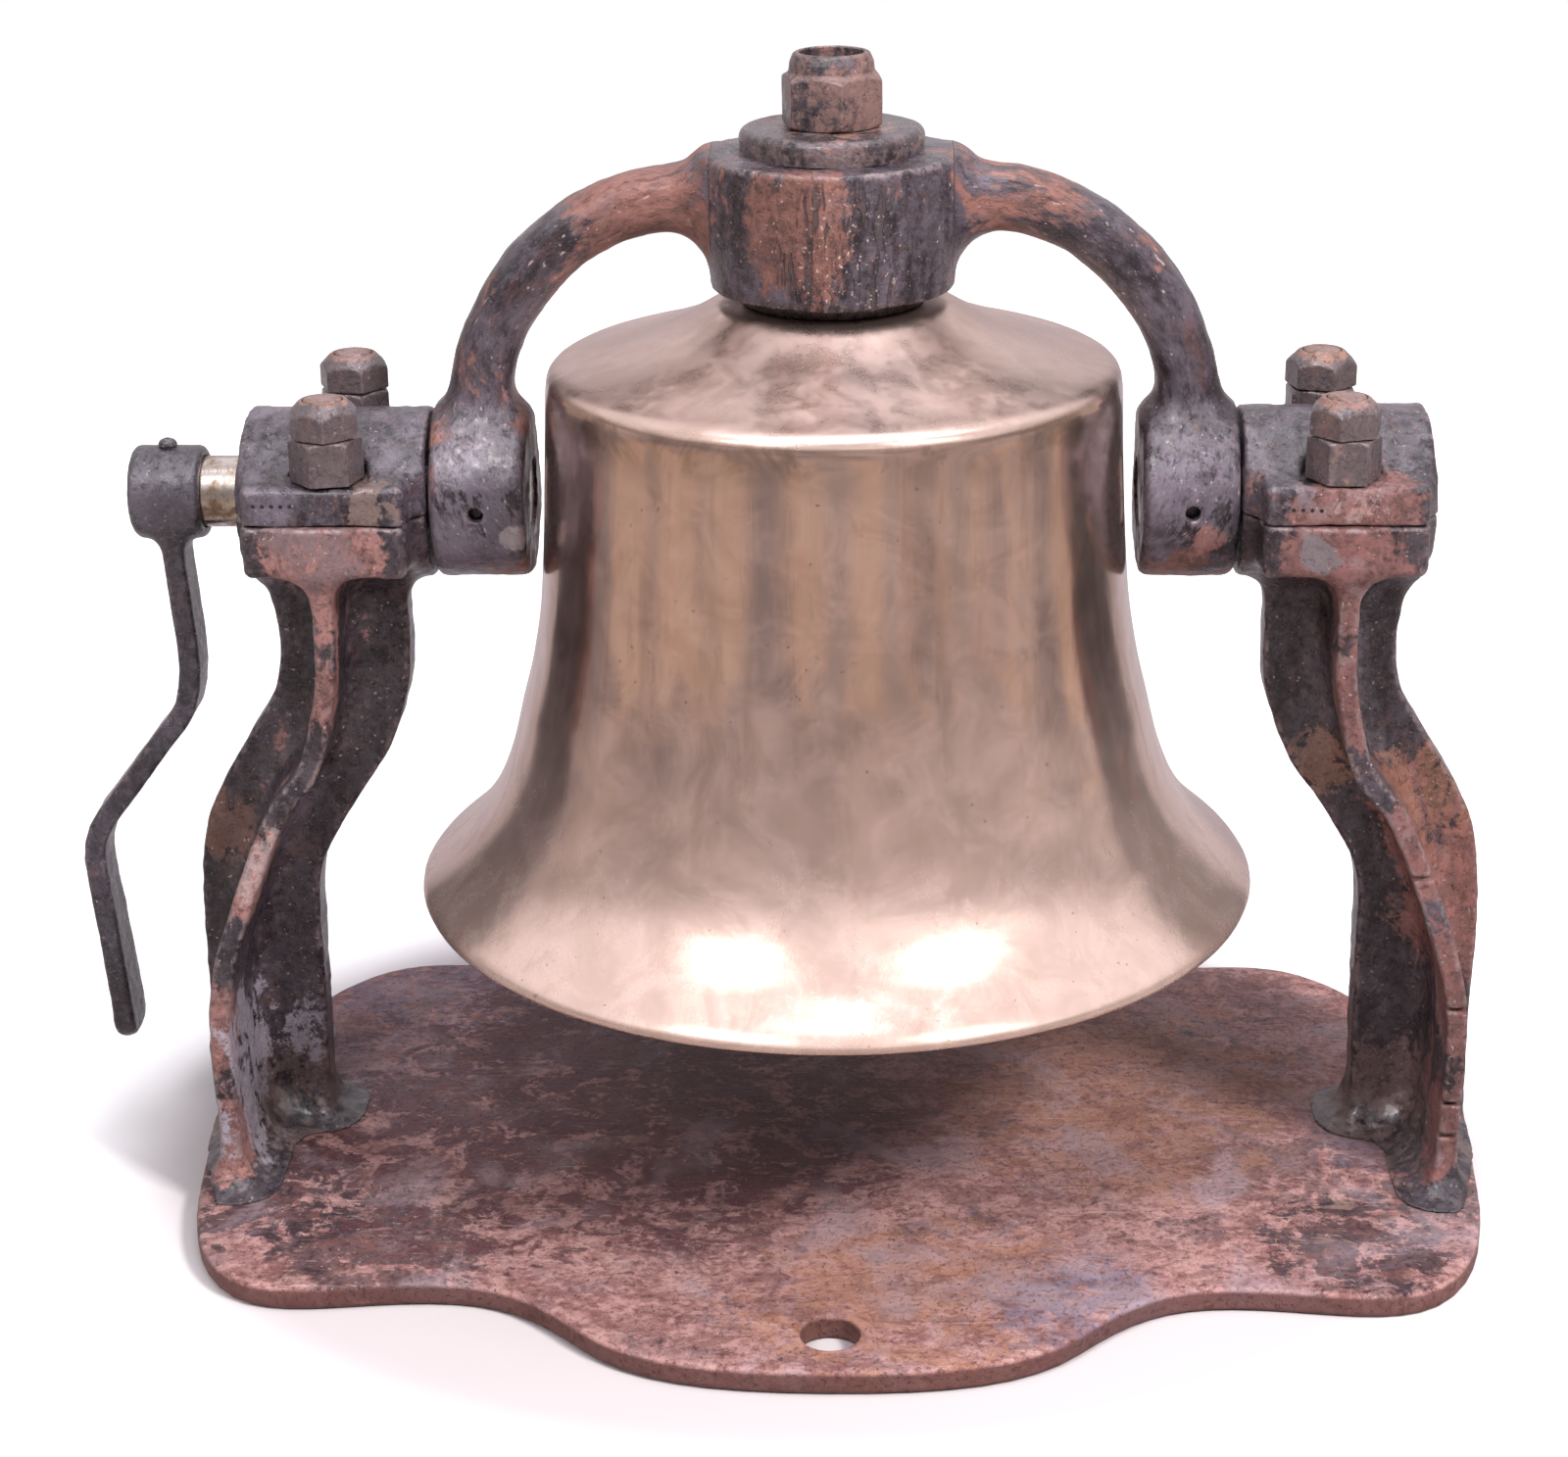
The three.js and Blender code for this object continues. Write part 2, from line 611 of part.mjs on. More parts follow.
function build() {
  const bellSet = new THREE.Group();
  bellSet.name = 'yard_bell';
  const place = (name, look, geometry) => {
    const material = new THREE.MeshStandardMaterial(look);
    const mesh = new THREE.Mesh(geometry, material);
    mesh.name = name;
    bellSet.add(mesh);
  };
  const single = (name, look, body) => place(name, look, toGeometry(body));
  const pair = (name, look, body) => {
    const geometry = toGeometry(body);
    place(`${name}_right`, look, geometry);
    place(`${name}_left`, look, mirrored(geometry));
  };

  single('base_plate', RUST, basePlate());
  pair('upright', IRON, upright());
  pair('bearing_cap', IRON, bearingCap());
  pair('lower_brass', BRASS, brass(false));
  pair('upper_brass', BRASS, brass(true));

  const nutTurns = { front: [20, -11], back: [-8, -4] };
  [['front', -STUD_Y], ['back', STUD_Y]].forEach(([end, y]) => {
    const seat = CAP_FLANGE_TOP + GAP;
    const joint = seat + NUT_H;
    const [low, high] = nutTurns[end];
    const lock = [joint + GAP, joint + LOCK_NUT_H];
    pair(`cap_stud_${end}`, IRON, capStud(y));
    pair(`cap_nut_${end}`, RUST, nut(NUT_AF, STUD_HOLE_R, seat, joint, STUD_X, y, low));
    pair(`lock_nut_${end}`, RUST, nut(NUT_AF, STUD_HOLE_R, ...lock, STUD_X, y, high));
  });

  single('yoke', RUST, yoke());
  single('trunnion_shaft_left', STEEL, trunnionLeft());
  single('trunnion_pin_right', STEEL, trunnionRight());
  pair('cross_pin', IRON, solid(rodY(CROSS_PIN_R, -CROSS_PIN_HALF, CROSS_PIN_HALF, EAR_MID, AXIS_Z)));
  single('bell', BRONZE, bell());
  single('crown_spacer', IRON, ring(BOLT_HOLE, SPACER_R, CROWN_TOP + GAP, HUB_BOTTOM - GAP));
  const washerTop = CROWN_UNDER - GAP;
  single('inner_washer', IRON, ring(BOLT_HOLE, 38, washerTop - INNER_WASHER_T, washerTop));
  single('hanger_bolt', IRON, hangerBolt());
  single('top_washer', RUST, topWasher());
  single('hanger_nut', RUST, hangerNut());
  single('crank_lever', IRON, crankLever());
  single('crank_set_pin', IRON, crankSetPin());
  single('clapper', IRON, clapper());
  single('clapper_pin', STEEL, clapperPin());
  single('clapper_cotter', STEEL, clapperCotter());
  return bellSet;
}

export default build();
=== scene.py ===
"""Looks for a cradle-mounted bronze bell: iron castings, turned and forged pieces, bell and studio."""
import math

import bmesh
import bpy
import numpy as np
from mathutils import Matrix, Vector


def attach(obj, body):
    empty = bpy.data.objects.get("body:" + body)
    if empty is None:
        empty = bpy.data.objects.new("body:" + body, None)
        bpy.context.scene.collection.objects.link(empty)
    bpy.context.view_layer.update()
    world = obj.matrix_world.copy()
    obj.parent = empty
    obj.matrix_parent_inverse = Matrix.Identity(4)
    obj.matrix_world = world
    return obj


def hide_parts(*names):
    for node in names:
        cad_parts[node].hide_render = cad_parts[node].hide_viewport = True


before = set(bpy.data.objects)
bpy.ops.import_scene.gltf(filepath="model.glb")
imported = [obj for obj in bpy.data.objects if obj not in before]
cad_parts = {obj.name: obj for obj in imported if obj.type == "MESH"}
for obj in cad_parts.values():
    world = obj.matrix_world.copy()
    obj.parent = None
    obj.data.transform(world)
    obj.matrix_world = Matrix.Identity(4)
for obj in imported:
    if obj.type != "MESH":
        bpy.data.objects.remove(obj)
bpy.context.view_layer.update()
CRADLE, YOKE, CLAPPER = "cradle", "swinging_yoke", "clapper"
MM = 0.001

# ---- Dimensions in millimetres, the same as the frame's ----
AXIS_Z = 363.5
STUD_X, STUD_Y = 246.7, 45.7
PLATE_TOP = 12.5
FOOT_Z = 12.8
NUT_SEAT = 383.3
NUT_TOP = 405.4
LOCK_TOP = 423.7
SHAFT_R = 18.0
BOLT_BORE = 14.6
STUD_BORE = 9.9
CAP_R = 42.5
EAR_PIN_X = 175.8
ARM_X, ARM_Z, ARM_R = 62, 400, 114.5
ARM_DIP = 3.6
CLAPPER_Z = 406
CRANK_X = -335
BASE_HOLE_Y, BASE_HOLE_R = 222, 14.5
CAP_NUT_FLATS, HANGER_NUT_FLATS = 31.75, 44.45

WEB_INNER = [(276, 12.8), (274, 60), (273, 120), (270.5, 160), (253, 193.5),
             (232, 225), (220, 258), (217, 285), (218, 312), (222, 340)]
WEB_OUTER = [(334, 12.8), (335, 60), (335.5, 120), (333, 167), (325, 197),
             (305, 232), (289.5, 258), (284, 283), (286, 312), (282, 340)]
RIB_LINE = [(312.5, 12.8), (313.5, 50), (315, 95), (312, 126), (301, 163),
            (283, 208), (264, 235), (254.5, 272), (252.5, 300), (252.5, 340)]
RIB_EDGE = [(88, 12.8), (81, 120), (75, 165), (66, 204), (57, 262), (57, 340)]
CRANK_LINE = [(-335, 351.5), (-334.5, 330), (-332, 292), (-331.5, 268), (-337, 247), (-353, 226),
              (-371, 202), (-385, 184), (-390, 168), (-389, 147), (-386, 115), (-383.2, 80),
              (-382.5, 64)]
BELL_OUTER = [(52, 461), (57, 460.8), (61, 459.2), (70, 454), (82, 448.2), (96, 443.2),
              (110, 438.5), (124, 434), (134, 431.2), (138.6, 429.4), (141.4, 426.4),
              (142.5, 421.5), (143, 414), (144.2, 385),
              (146.2, 345), (149, 310), (153.9, 280), (160.2, 255), (166, 232), (173.4, 212),
              (182, 196), (192.8, 182.3), (204, 171.5), (212.5, 164), (215.7, 160)]
BELL_LIP = [(215.9, 158.6), (215.2, 157), (213.6, 156.2), (211.9, 156.6)]
BELL_INNER = [(211, 157), (203, 163), (190, 173.5), (176, 187), (163, 205), (154, 226), (147, 252),
              (141.5, 282), (136.5, 315), (133.5, 350), (132, 385), (130.5, 407), (123, 417.5),
              (108, 425.5), (84, 434.5), (64, 442.5), (46, 446), (14.6, 446)]
BASE_FRONT = [[(0, -256), (58, -256), (95, -248), (120, -221)],
              [(120, -221), (146, -193), (163, -180.5), (197, -180.5)],
              [(197, -180.5), (232, -180.5), (262, -192), (287, -182)],
              [(287, -182), (316, -170), (328, -125), (331.5, -80)],
              [(331.5, -80), (334, -52), (337, -28), (337, 0)]]
BASE_BACK = [[(0, 256), (58, 256), (95, 248), (120, 221)],
             [(120, 221), (146, 193), (163, 180.5), (197, 180.5)],
             [(197, 180.5), (226, 180.5), (244, 184), (262, 176)],
             [(262, 176), (288, 164), (304, 136), (317, 98)],
             [(317, 98), (328, 66), (337, 30), (337, 0)]]


# ---- Distance fields: every function takes arrays in millimetres and is negative inside ----
def smin(a, b, k):
    h = np.maximum(k - np.abs(a - b), 0) / k
    return np.minimum(a, b) - h * h * k / 4


def smax(a, b, k):
    return -smin(-a, -b, k)


def rounded(dx, dy, r):
    """The corner between two half-planes, rounded to radius r."""
    ex, ey = dx + r, dy + r
    outside = np.hypot(np.maximum(ex, 0), np.maximum(ey, 0))
    return np.minimum(np.maximum(ex, ey), 0) + outside - r


def rod(radial, along, radius, low, high, edge):
    return rounded(radial - radius, np.abs(along - (low + high) / 2) - (high - low) / 2, edge)


def block(p, low, high, edge):
    d = [np.abs(p[i] - (low[i] + high[i]) / 2) - (high[i] - low[i]) / 2 + edge for i in range(3)]
    outside = np.sqrt(sum(np.maximum(v, 0) ** 2 for v in d))
    return np.minimum(np.maximum(np.maximum(d[0], d[1]), d[2]), 0) + outside - edge


def spline(points, count):
    """A smooth line through the points, the same curve as the frame's."""
    p = np.array(points, float)
    n = len(p)
    t = np.linspace(0, n - 1, count)
    i = np.minimum(t.astype(int), n - 2)
    w = (t - i)[:, None]
    a, b, c, d = p[np.maximum(i - 1, 0)], p[i], p[i + 1], p[np.minimum(i + 2, n - 1)]
    v0, v1 = (c - a) / 2, (d - b) / 2
    return ((2 * b - 2 * c + v0 + v1) * w ** 3 + (-3 * b + 3 * c - 2 * v0 - v1) * w ** 2 + v0 * w + b)


def follow(points, count=160):
    """x as a function of z along a smooth line, and how much a sideways distance shrinks there."""
    line = spline(points, count)
    slope = np.gradient(line[:, 0], line[:, 1])
    return lambda z: (np.interp(z, line[:, 1], line[:, 0]),
                      1 / np.sqrt(1 + np.interp(z, line[:, 1], slope) ** 2))


def path_distance(x, z, line):
    best = np.full(x.shape, 1e9, np.float32)
    for (ax, az), (bx, bz) in zip(line[:-1], line[1:]):
        ux, uz = bx - ax, bz - az
        t = np.clip(((x - ax) * ux + (z - az) * uz) / (ux * ux + uz * uz), 0, 1)
        best = np.minimum(best, np.hypot(x - ax - t * ux, z - az - t * uz))
    return best


class Noise:
    """Smooth value noise on a seeded lattice, from -1 to 1, at any points."""

    def __init__(self, seed, stretch=(1, 1, 1)):
        self.lattice = np.random.default_rng(seed).uniform(-1, 1, (32, 32, 32))
        self.stretch = np.array(stretch)

    def at(self, p, size):
        q = p / (size * self.stretch)
        i = np.floor(q).astype(int)
        f = q - i
        f = f * f * (3 - 2 * f)
        total = 0
        for cx in (0, 1):
            for cy in (0, 1):
                for cz in (0, 1):
                    w = (np.where(cx, f[:, 0], 1 - f[:, 0]) * np.where(cy, f[:, 1], 1 - f[:, 1])
                         * np.where(cz, f[:, 2], 1 - f[:, 2]))
                    total = total + w * self.lattice[(i[:, 0] + cx) % 32, (i[:, 1] + cy) % 32,
                                                     (i[:, 2] + cz) % 32]
        return total

    def layered(self, p, size, layers, fade=0.5):
        return sum(self.at(p + 17.3 * k, size / 2 ** k) * fade ** k for k in range(layers))


# ---- Meshes ----
IRONWORK = bpy.data.collections.new("ironwork")  # what the glint lamp lights
CORNERS = np.array([(i, j, k) for i in (0, 1) for j in (0, 1) for k in (0, 1)])
EDGES = [(a, b) for a in range(8) for b in range(a + 1, 8)
         if np.abs(CORNERS[a] - CORNERS[b]).sum() == 1]


def skin(field, low, high, step):
    """Vertices and quads on the surface where the field is zero."""
    steps = np.array(step if isinstance(step, tuple) else (step,) * 3, float)
    axes = [np.arange(low[i] - 1.5 * steps[i], high[i] + 2.5 * steps[i], steps[i]) for i in range(3)]
    grid = np.meshgrid(*[a.astype(np.float32) for a in axes], indexing="ij")
    f = field(*grid).astype(np.float32)
    inside = f < 0
    size = np.array(f.shape)
    corner = [inside[c[0]:size[0] - 1 + c[0], c[1]:size[1] - 1 + c[1], c[2]:size[2] - 1 + c[2]]
              for c in CORNERS]
    count = sum(c.astype(np.int8) for c in corner)
    cells = np.argwhere((count > 0) & (count < 8))
    ids = np.full(size - 1, -1, np.int32)
    ids[tuple(cells.T)] = np.arange(len(cells))
    values = np.stack([f[tuple((cells + c).T)] for c in CORNERS], 1)
    total = np.zeros((len(cells), 3))
    hits = np.zeros(len(cells))
    for a, b in EDGES:
        cross = (values[:, a] < 0) != (values[:, b] < 0)
        t = values[:, a] / np.where(cross, values[:, a] - values[:, b], 1)
        total += np.where(cross[:, None], CORNERS[a] + t[:, None] * (CORNERS[b] - CORNERS[a]), 0)
        hits += cross
    origin = np.array([a[0] for a in axes])
    verts = origin + (cells + total / hits[:, None]) * steps
    quads = []
    for axis in range(3):
        u, v = (axis + 1) % 3, (axis + 2) % 3
        near = [slice(None)] * 3
        far = [slice(None)] * 3
        near[axis], far[axis] = slice(0, -1), slice(1, None)
        change = np.argwhere(inside[tuple(near)] != inside[tuple(far)])
        change = change[(change[:, u] > 0) & (change[:, v] > 0)
                        & (change[:, u] < size[u] - 1) & (change[:, v] < size[v] - 1)]
        ring = []
        for du, dv in ((1, 1), (0, 1), (0, 0), (1, 0)):
            cell = change.copy()
            cell[:, u] -= du
            cell[:, v] -= dv
            ring.append(ids[tuple(cell.T)])
        quad = np.stack(ring, 1)
        outward = inside[tuple(change.T)]
        quad[~outward] = quad[~outward][:, ::-1]
        quads.append(quad)
    verts = settle(field, verts, steps.min())
    return verts, np.concatenate(quads)


def slope_of(field, verts, eps=0.05):
    def value(p):
        return field(p[:, 0], p[:, 1], p[:, 2])
    grad = np.stack([value(verts + eps * e) - value(verts - eps * e) for e in np.eye(3)], 1)
    grad /= 2 * eps
    return value(verts), grad


def settle(field, verts, step):
    """Moves the vertices onto the surface itself."""
    for _ in range(2):
        f, grad = slope_of(field, verts)
        length2 = np.maximum((grad ** 2).sum(1), 0.2)
        move = -(f / length2)[:, None] * grad
        size = np.linalg.norm(move, axis=1, keepdims=True)
        verts = verts + move * np.minimum(1, 0.5 * step / np.maximum(size, 1e-6))
    return verts


def normals_of(verts, faces):
    a, b, c, d = (verts[faces[:, i]] for i in range(4))
    face = np.cross(c - a, d - b)
    n = np.zeros_like(verts)
    for i in range(4):
        np.add.at(n, faces[:, i], face)
    return n / np.maximum(np.linalg.norm(n, axis=1, keepdims=True), 1e-9)


def piece(name, verts, faces, body, material, slot, nodes, crease=None):
    mesh = bpy.data.meshes.new(name)
    mesh.from_pydata((np.asarray(verts) * MM).tolist(), [], [list(map(int, f)) for f in faces])
    mesh.update()
    mesh.shade_smooth()
    if crease:
        mesh.set_sharp_from_angle(angle=math.radians(crease))
    mesh.materials.append(material)
    obj = bpy.data.objects.new(name, mesh)
    bpy.context.scene.collection.objects.link(obj)
    if slot in ("cast_iron", "rusty_iron"):
        IRONWORK.objects.link(obj)
    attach(obj, body)
    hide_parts(*nodes)
    return obj


def roughen(verts, faces, noise, layers, keep=None):
    """Pushes the skin in and out. layers holds (size of the bumps, height), keep fades them."""
    n = normals_of(verts, faces)
    push = sum(noise.layered(verts, size, 2) * height for size, height in layers)
    if keep is not None:
        push = push * keep(verts)
    return verts + n * push[:, None]


def mirror(verts, faces):
    return verts * (-1, 1, 1), faces[:, ::-1]


def turned(profile, segments, wobble=None):
    """A closed body of revolution about Z from a closed loop of (radius, z)."""
    p = np.array(profile, float)
    turn = np.linspace(0, 2 * math.pi, segments, endpoint=False)
    ring = np.stack([np.cos(turn), np.sin(turn)], 1)
    verts = np.concatenate([np.column_stack([ring * r, np.full(segments, z)]) for r, z in p])
    faces = []
    for k in range(len(p)):
        m = (k + 1) % len(p)
        i = np.arange(segments)
        j = (i + 1) % segments
        faces.append(np.stack([k * segments + i, k * segments + j, m * segments + j,
                               m * segments + i], 1))
    faces = np.concatenate(faces)
    area = sum(p[k][0] * p[(k + 1) % len(p)][1] - p[(k + 1) % len(p)][0] * p[k][1]
               for k in range(len(p)))
    if area < 0:
        faces = faces[:, ::-1]
    if wobble:
        verts = wobble(verts, faces)
    return verts, faces


def resample(points, spacing):
    p = np.array(points, float)
    at = np.concatenate([[0], np.cumsum(np.linalg.norm(np.diff(p, axis=0), axis=1))])
    count = max(2, int(at[-1] / spacing) + 1)
    s = np.linspace(0, at[-1], count)
    return np.column_stack([np.interp(s, at, p[:, 0]), np.interp(s, at, p[:, 1])])


def to_x(verts):
    """A body turned about Z laid along X on the trunnion line."""
    return np.column_stack([verts[:, 2], verts[:, 1], AXIS_Z - verts[:, 0]])


def rounded_rod(radius, low, high, edge, bore=0.05):
    """The profile of a rod with rounded ends, hollow by a hair so that it closes on itself."""
    bend = [(radius - edge + edge * math.sin(a), low + edge - edge * math.cos(a))
            for a in np.linspace(0, math.pi / 2, 6)]
    top = [(r, high - (z - low)) for r, z in reversed(bend)]
    return [(bore, low)] + bend + top + [(bore, high)]


# ---- The castings and forgings ----
web_inner, web_outer = follow(WEB_INNER), follow(WEB_OUTER)
rib_line, rib_edge = follow(RIB_LINE), follow(RIB_EDGE)
BORE_R = 27.2


def upright_field(x, y, z):
    inner, shrink = web_inner(z)
    outer, shrink_out = web_outer(z)
    ay = np.abs(y)
    side = np.maximum((inner - x) * shrink, (x - outer) * shrink_out)
    web = rounded(side, ay - 11, 3.5)
    middle, lean = rib_line(z)
    reach = rib_edge(z)[0]
    rib = rounded(np.abs(x - middle) * lean - 5.25, ay - reach, 2.2)
    body = smin(web, rib, 15)
    seat = block((x, y, z), (208, -64, 337), (288.5, 64, 380), 5)
    seat = smin(seat, rod(np.hypot(y, z - AXIS_Z), x, CAP_R, 201, 293, 2.5), 12)
    body = smin(body, seat, 20)
    fillet = smax(smin(body, z - FOOT_Z + 0.1, 26), np.maximum(body - 23, z - 60), 0.6)
    body = np.minimum(body, smax(fillet, 0.9636 * x + 0.267 * ay - 336, 2))
    body = smax(body, x - 336.6, 2)
    body = np.maximum(body, FOOT_Z - 0.3 - z)
    body = smax(body, z - 363.2, 1.6)
    body = smax(body, BORE_R - np.hypot(y, z - AXIS_Z), 1)
    hole = np.maximum(np.hypot(x - STUD_X, ay - STUD_Y) - STUD_BORE, 339.5 - z)
    return smax(body, -hole, 0.8)


def notched_upright_field(x, y, z):
    """The right-hand upright, whose front rib has nicks in its edge."""
    body = upright_field(x, y, z)
    reach = rib_edge(z)[0]
    for height, deep in ((182, 2.5), (114.5, 3.5), (63, 5), (45, 4)):
        nick = smax(np.abs(z - height) - 1.0, -y - reach - 4, 1)
        body = smax(body, -np.maximum(nick, reach - deep + y), 1.0)
    return body


def cap_field(x, y, z):
    ay = np.abs(y)
    radial = np.hypot(y, z - AXIS_Z)
    flange = block((x, y, z), (208, -62, 340), (288, 62, 383), 4.5)
    body = smin(flange, rod(radial, x, CAP_R, 200.9, 293, 2.5), 14)
    body = smax(body, 363.8 - z, 1.6)
    spot = np.maximum(np.hypot(x - STUD_X, ay - STUD_Y) - 19.4, 383.1 - z)
    body = smax(body, -spot, 2.5)
    body = smax(body, BORE_R - radial, 1)
    return smax(body, STUD_BORE - np.hypot(x - STUD_X, ay - STUD_Y), 0.8)


def yoke_field(x, y, z):
    ax = np.abs(x)
    r = np.hypot(x, y)
    hub_r = 59.6 + (z - 468.4) * (2.2 / 65.3)
    hub = rounded(r - hub_r, np.abs(z - 501.05) - 32.65, 2.6)
    bend = np.hypot(np.maximum(ax - ARM_X, 0), z - ARM_Z) - ARM_R
    bend = bend + ARM_DIP * np.exp(-((ax - ARM_X) / 20) ** 2)
    straight = z - (ARM_Z + ARM_R - ARM_DIP)
    off = np.where(z > ARM_Z, np.where(ax > ARM_X, bend, straight), ax - (ARM_X + ARM_R))
    section = (np.abs(off / 15.4) ** 2.5 + np.abs(y / 17.4) ** 2.5) ** 0.4
    arm = np.maximum((section - 1) * 15.4, np.maximum(30 - ax, 376 - z))
    ear = rod(np.hypot(y, z - AXIS_Z), ax, CAP_R, 152, 199.5, 5)
    body = smin(smin(hub, arm, 24), ear, 20)
    body = smax(body, ax - 199.5, 1.5)
    body = smax(body, BOLT_BORE - r, 1)
    body = np.where(ax > 100, smax(body, SHAFT_R + 0.3 - np.hypot(y, z - AXIS_Z), 1.2), body)
    return smax(body, 3.9 - np.hypot(ax - EAR_PIN_X, z - AXIS_Z), 0.8)


def base_outline():
    def curve(points):
        p = np.array(points, float)
        t = np.linspace(0, 1, 9)[:-1, None]
        return ((1 - t) ** 3 * p[0] + 3 * t * (1 - t) ** 2 * p[1] + 3 * t * t * (1 - t) * p[2]
                + t ** 3 * p[3])
    front = np.concatenate([curve(c) for c in BASE_FRONT])
    back = np.concatenate([curve(c) for c in BASE_BACK])
    right = np.concatenate([front, [(337, 0)], back[::-1]])
    return np.concatenate([right, (right[1:-1] * (-1, 1))[::-1]])


OUTLINE = base_outline()


def outline_distance(x, y):
    best = np.full(x.shape, 1e9, np.float32)
    inside = np.zeros(x.shape, bool)
    for (ax, ay), (bx, by) in zip(OUTLINE, np.roll(OUTLINE, -1, 0)):
        ux, uy = bx - ax, by - ay
        t = np.clip(((x - ax) * ux + (y - ay) * uy) / (ux * ux + uy * uy), 0, 1)
        best = np.minimum(best, np.hypot(x - ax - t * ux, y - ay - t * uy))
        if abs(uy) > 1e-9:
            between = (ay > y) != (by > y)
            inside ^= between & (x < ax + (y - ay) * ux / uy)
    return np.where(inside, -best, best)


def base_field(x, y, z):
    if x.ndim == 3:
        flat = np.broadcast_to(outline_distance(x[:, :, 0], y[:, :, 0])[:, :, None], x.shape)
    else:
        flat = outline_distance(x, y)
    body = rounded(flat, np.abs(z - PLATE_TOP / 2) - PLATE_TOP / 2, 2.6)
    return smax(body, BASE_HOLE_R - np.hypot(x, np.abs(y) - BASE_HOLE_Y), 1.6)


def crank_field(x, y, z):
    radial = np.hypot(y, z - AXIS_Z)
    hub = rod(radial, x, 23.5, CRANK_X - 18, CRANK_X + 18, 4)
    width = np.interp(z, [57, 72, 150, 360], [15, 15, 12.5, 12.5])
    flank = np.where(z < 72, np.hypot(y, z - 72) - 15, np.abs(y) - width)
    bar = rounded(path_distance(x, z, spline(CRANK_LINE, 26)) - 5.6, flank, 3)
    body = smin(hub, bar, 10)
    body = smax(body, SHAFT_R + 0.3 - radial, 1)
    return np.where(z > AXIS_Z, smax(body, 4.3 - np.hypot(x - CRANK_X, y), 0.6), body)


def hex_distance(x, y, flats, turn):
    c = [math.radians(turn + 60 * k) for k in range(3)]
    d = [np.abs(x * math.cos(a) + y * math.sin(a)) - flats / 2 for a in c]
    return smax(smax(d[0], d[1], 0.8), d[2], 0.8)


def nut_field(flats, bore, low, high, turn, crown, slope):
    """A hexagon nut on the Z axis. crown is the radius of its flat top, slope its chamfer's."""
    def field(x, y, z):
        r = np.hypot(x, y)
        ends = np.abs(z - (low + high) / 2) - (high - low) / 2
        body = rounded(hex_distance(x, y, flats, turn), ends, 0.7)
        cone = ((r - crown) * slope + z - high) / math.hypot(slope, 1)
        body = smax(body, cone, 0.9)
        return smax(body, bore - r, 0.6)
    return field


def hanger_nut_field(x, y, z):
    r = np.hypot(x, y)
    hexagon = nut_field(HANGER_NUT_FLATS, BOLT_BORE, 546.3, 572, 12, 20.6, 0.55)(x, y, z)
    hexagon = smax(hexagon, ((r - 22.4) * 0.55 + 546.3 - z) / 1.14, 0.8)
    lean = (z - 569) * 0.13 + np.maximum(z - 577, 0) * 0.3
    collar = smax(rounded(r - (21.2 - lean), np.abs(z - 574.9) - 6.6, 1.4), 15.6 - r, 0.8)
    return smax(smin(hexagon, collar, 1.5), BOLT_BORE - r, 0.8)


def clapper_field(x, y, z):
    r = np.hypot(x, y)
    eye = rod(np.hypot(y, z - CLAPPER_Z), np.abs(x), 15, -7, 7, 2.5)
    stem = rod(r, z, 0, 112, 396, 0) - np.interp(z, [112, 230, 380, 396], [7.5, 8.5, 6.6, 6.6])
    ball = np.sqrt(r * r + (z - 150) ** 2) - 31.8
    tail = np.sqrt(r * r + (z - 116) ** 2) - 7.8
    body = smin(smin(smin(stem, ball, 9), eye, 8), tail, 3)
    return smax(body, 6.3 - np.hypot(y, z - CLAPPER_Z), 0.6)


def away_from(plane, reach=3.0):
    """Fades the roughness out beside the running gap at |x| = plane."""
    return lambda v: np.clip((np.abs(np.abs(v[:, 0]) - plane) - 1) / reach, 0, 1)


COARSE = 1.0
CREASE = 50  # degrees, the edges of turned pieces that stay sharp


def cast(name, field, low, high, step, seed, bumps, body, material, slot, nodes,
         keep=None, move=None, flip=False, marks=None):
    steps = tuple(s * COARSE for s in step) if isinstance(step, tuple) else step * COARSE
    verts, faces = skin(field, low, high, steps)
    verts = roughen(verts, faces, Noise(seed), bumps, keep)
    if marks:
        verts = marks(verts, faces)
    if flip:
        verts, faces = mirror(verts, faces)
    if move:
        verts = verts + move
    return piece(name, verts, faces, body, material, slot, nodes)


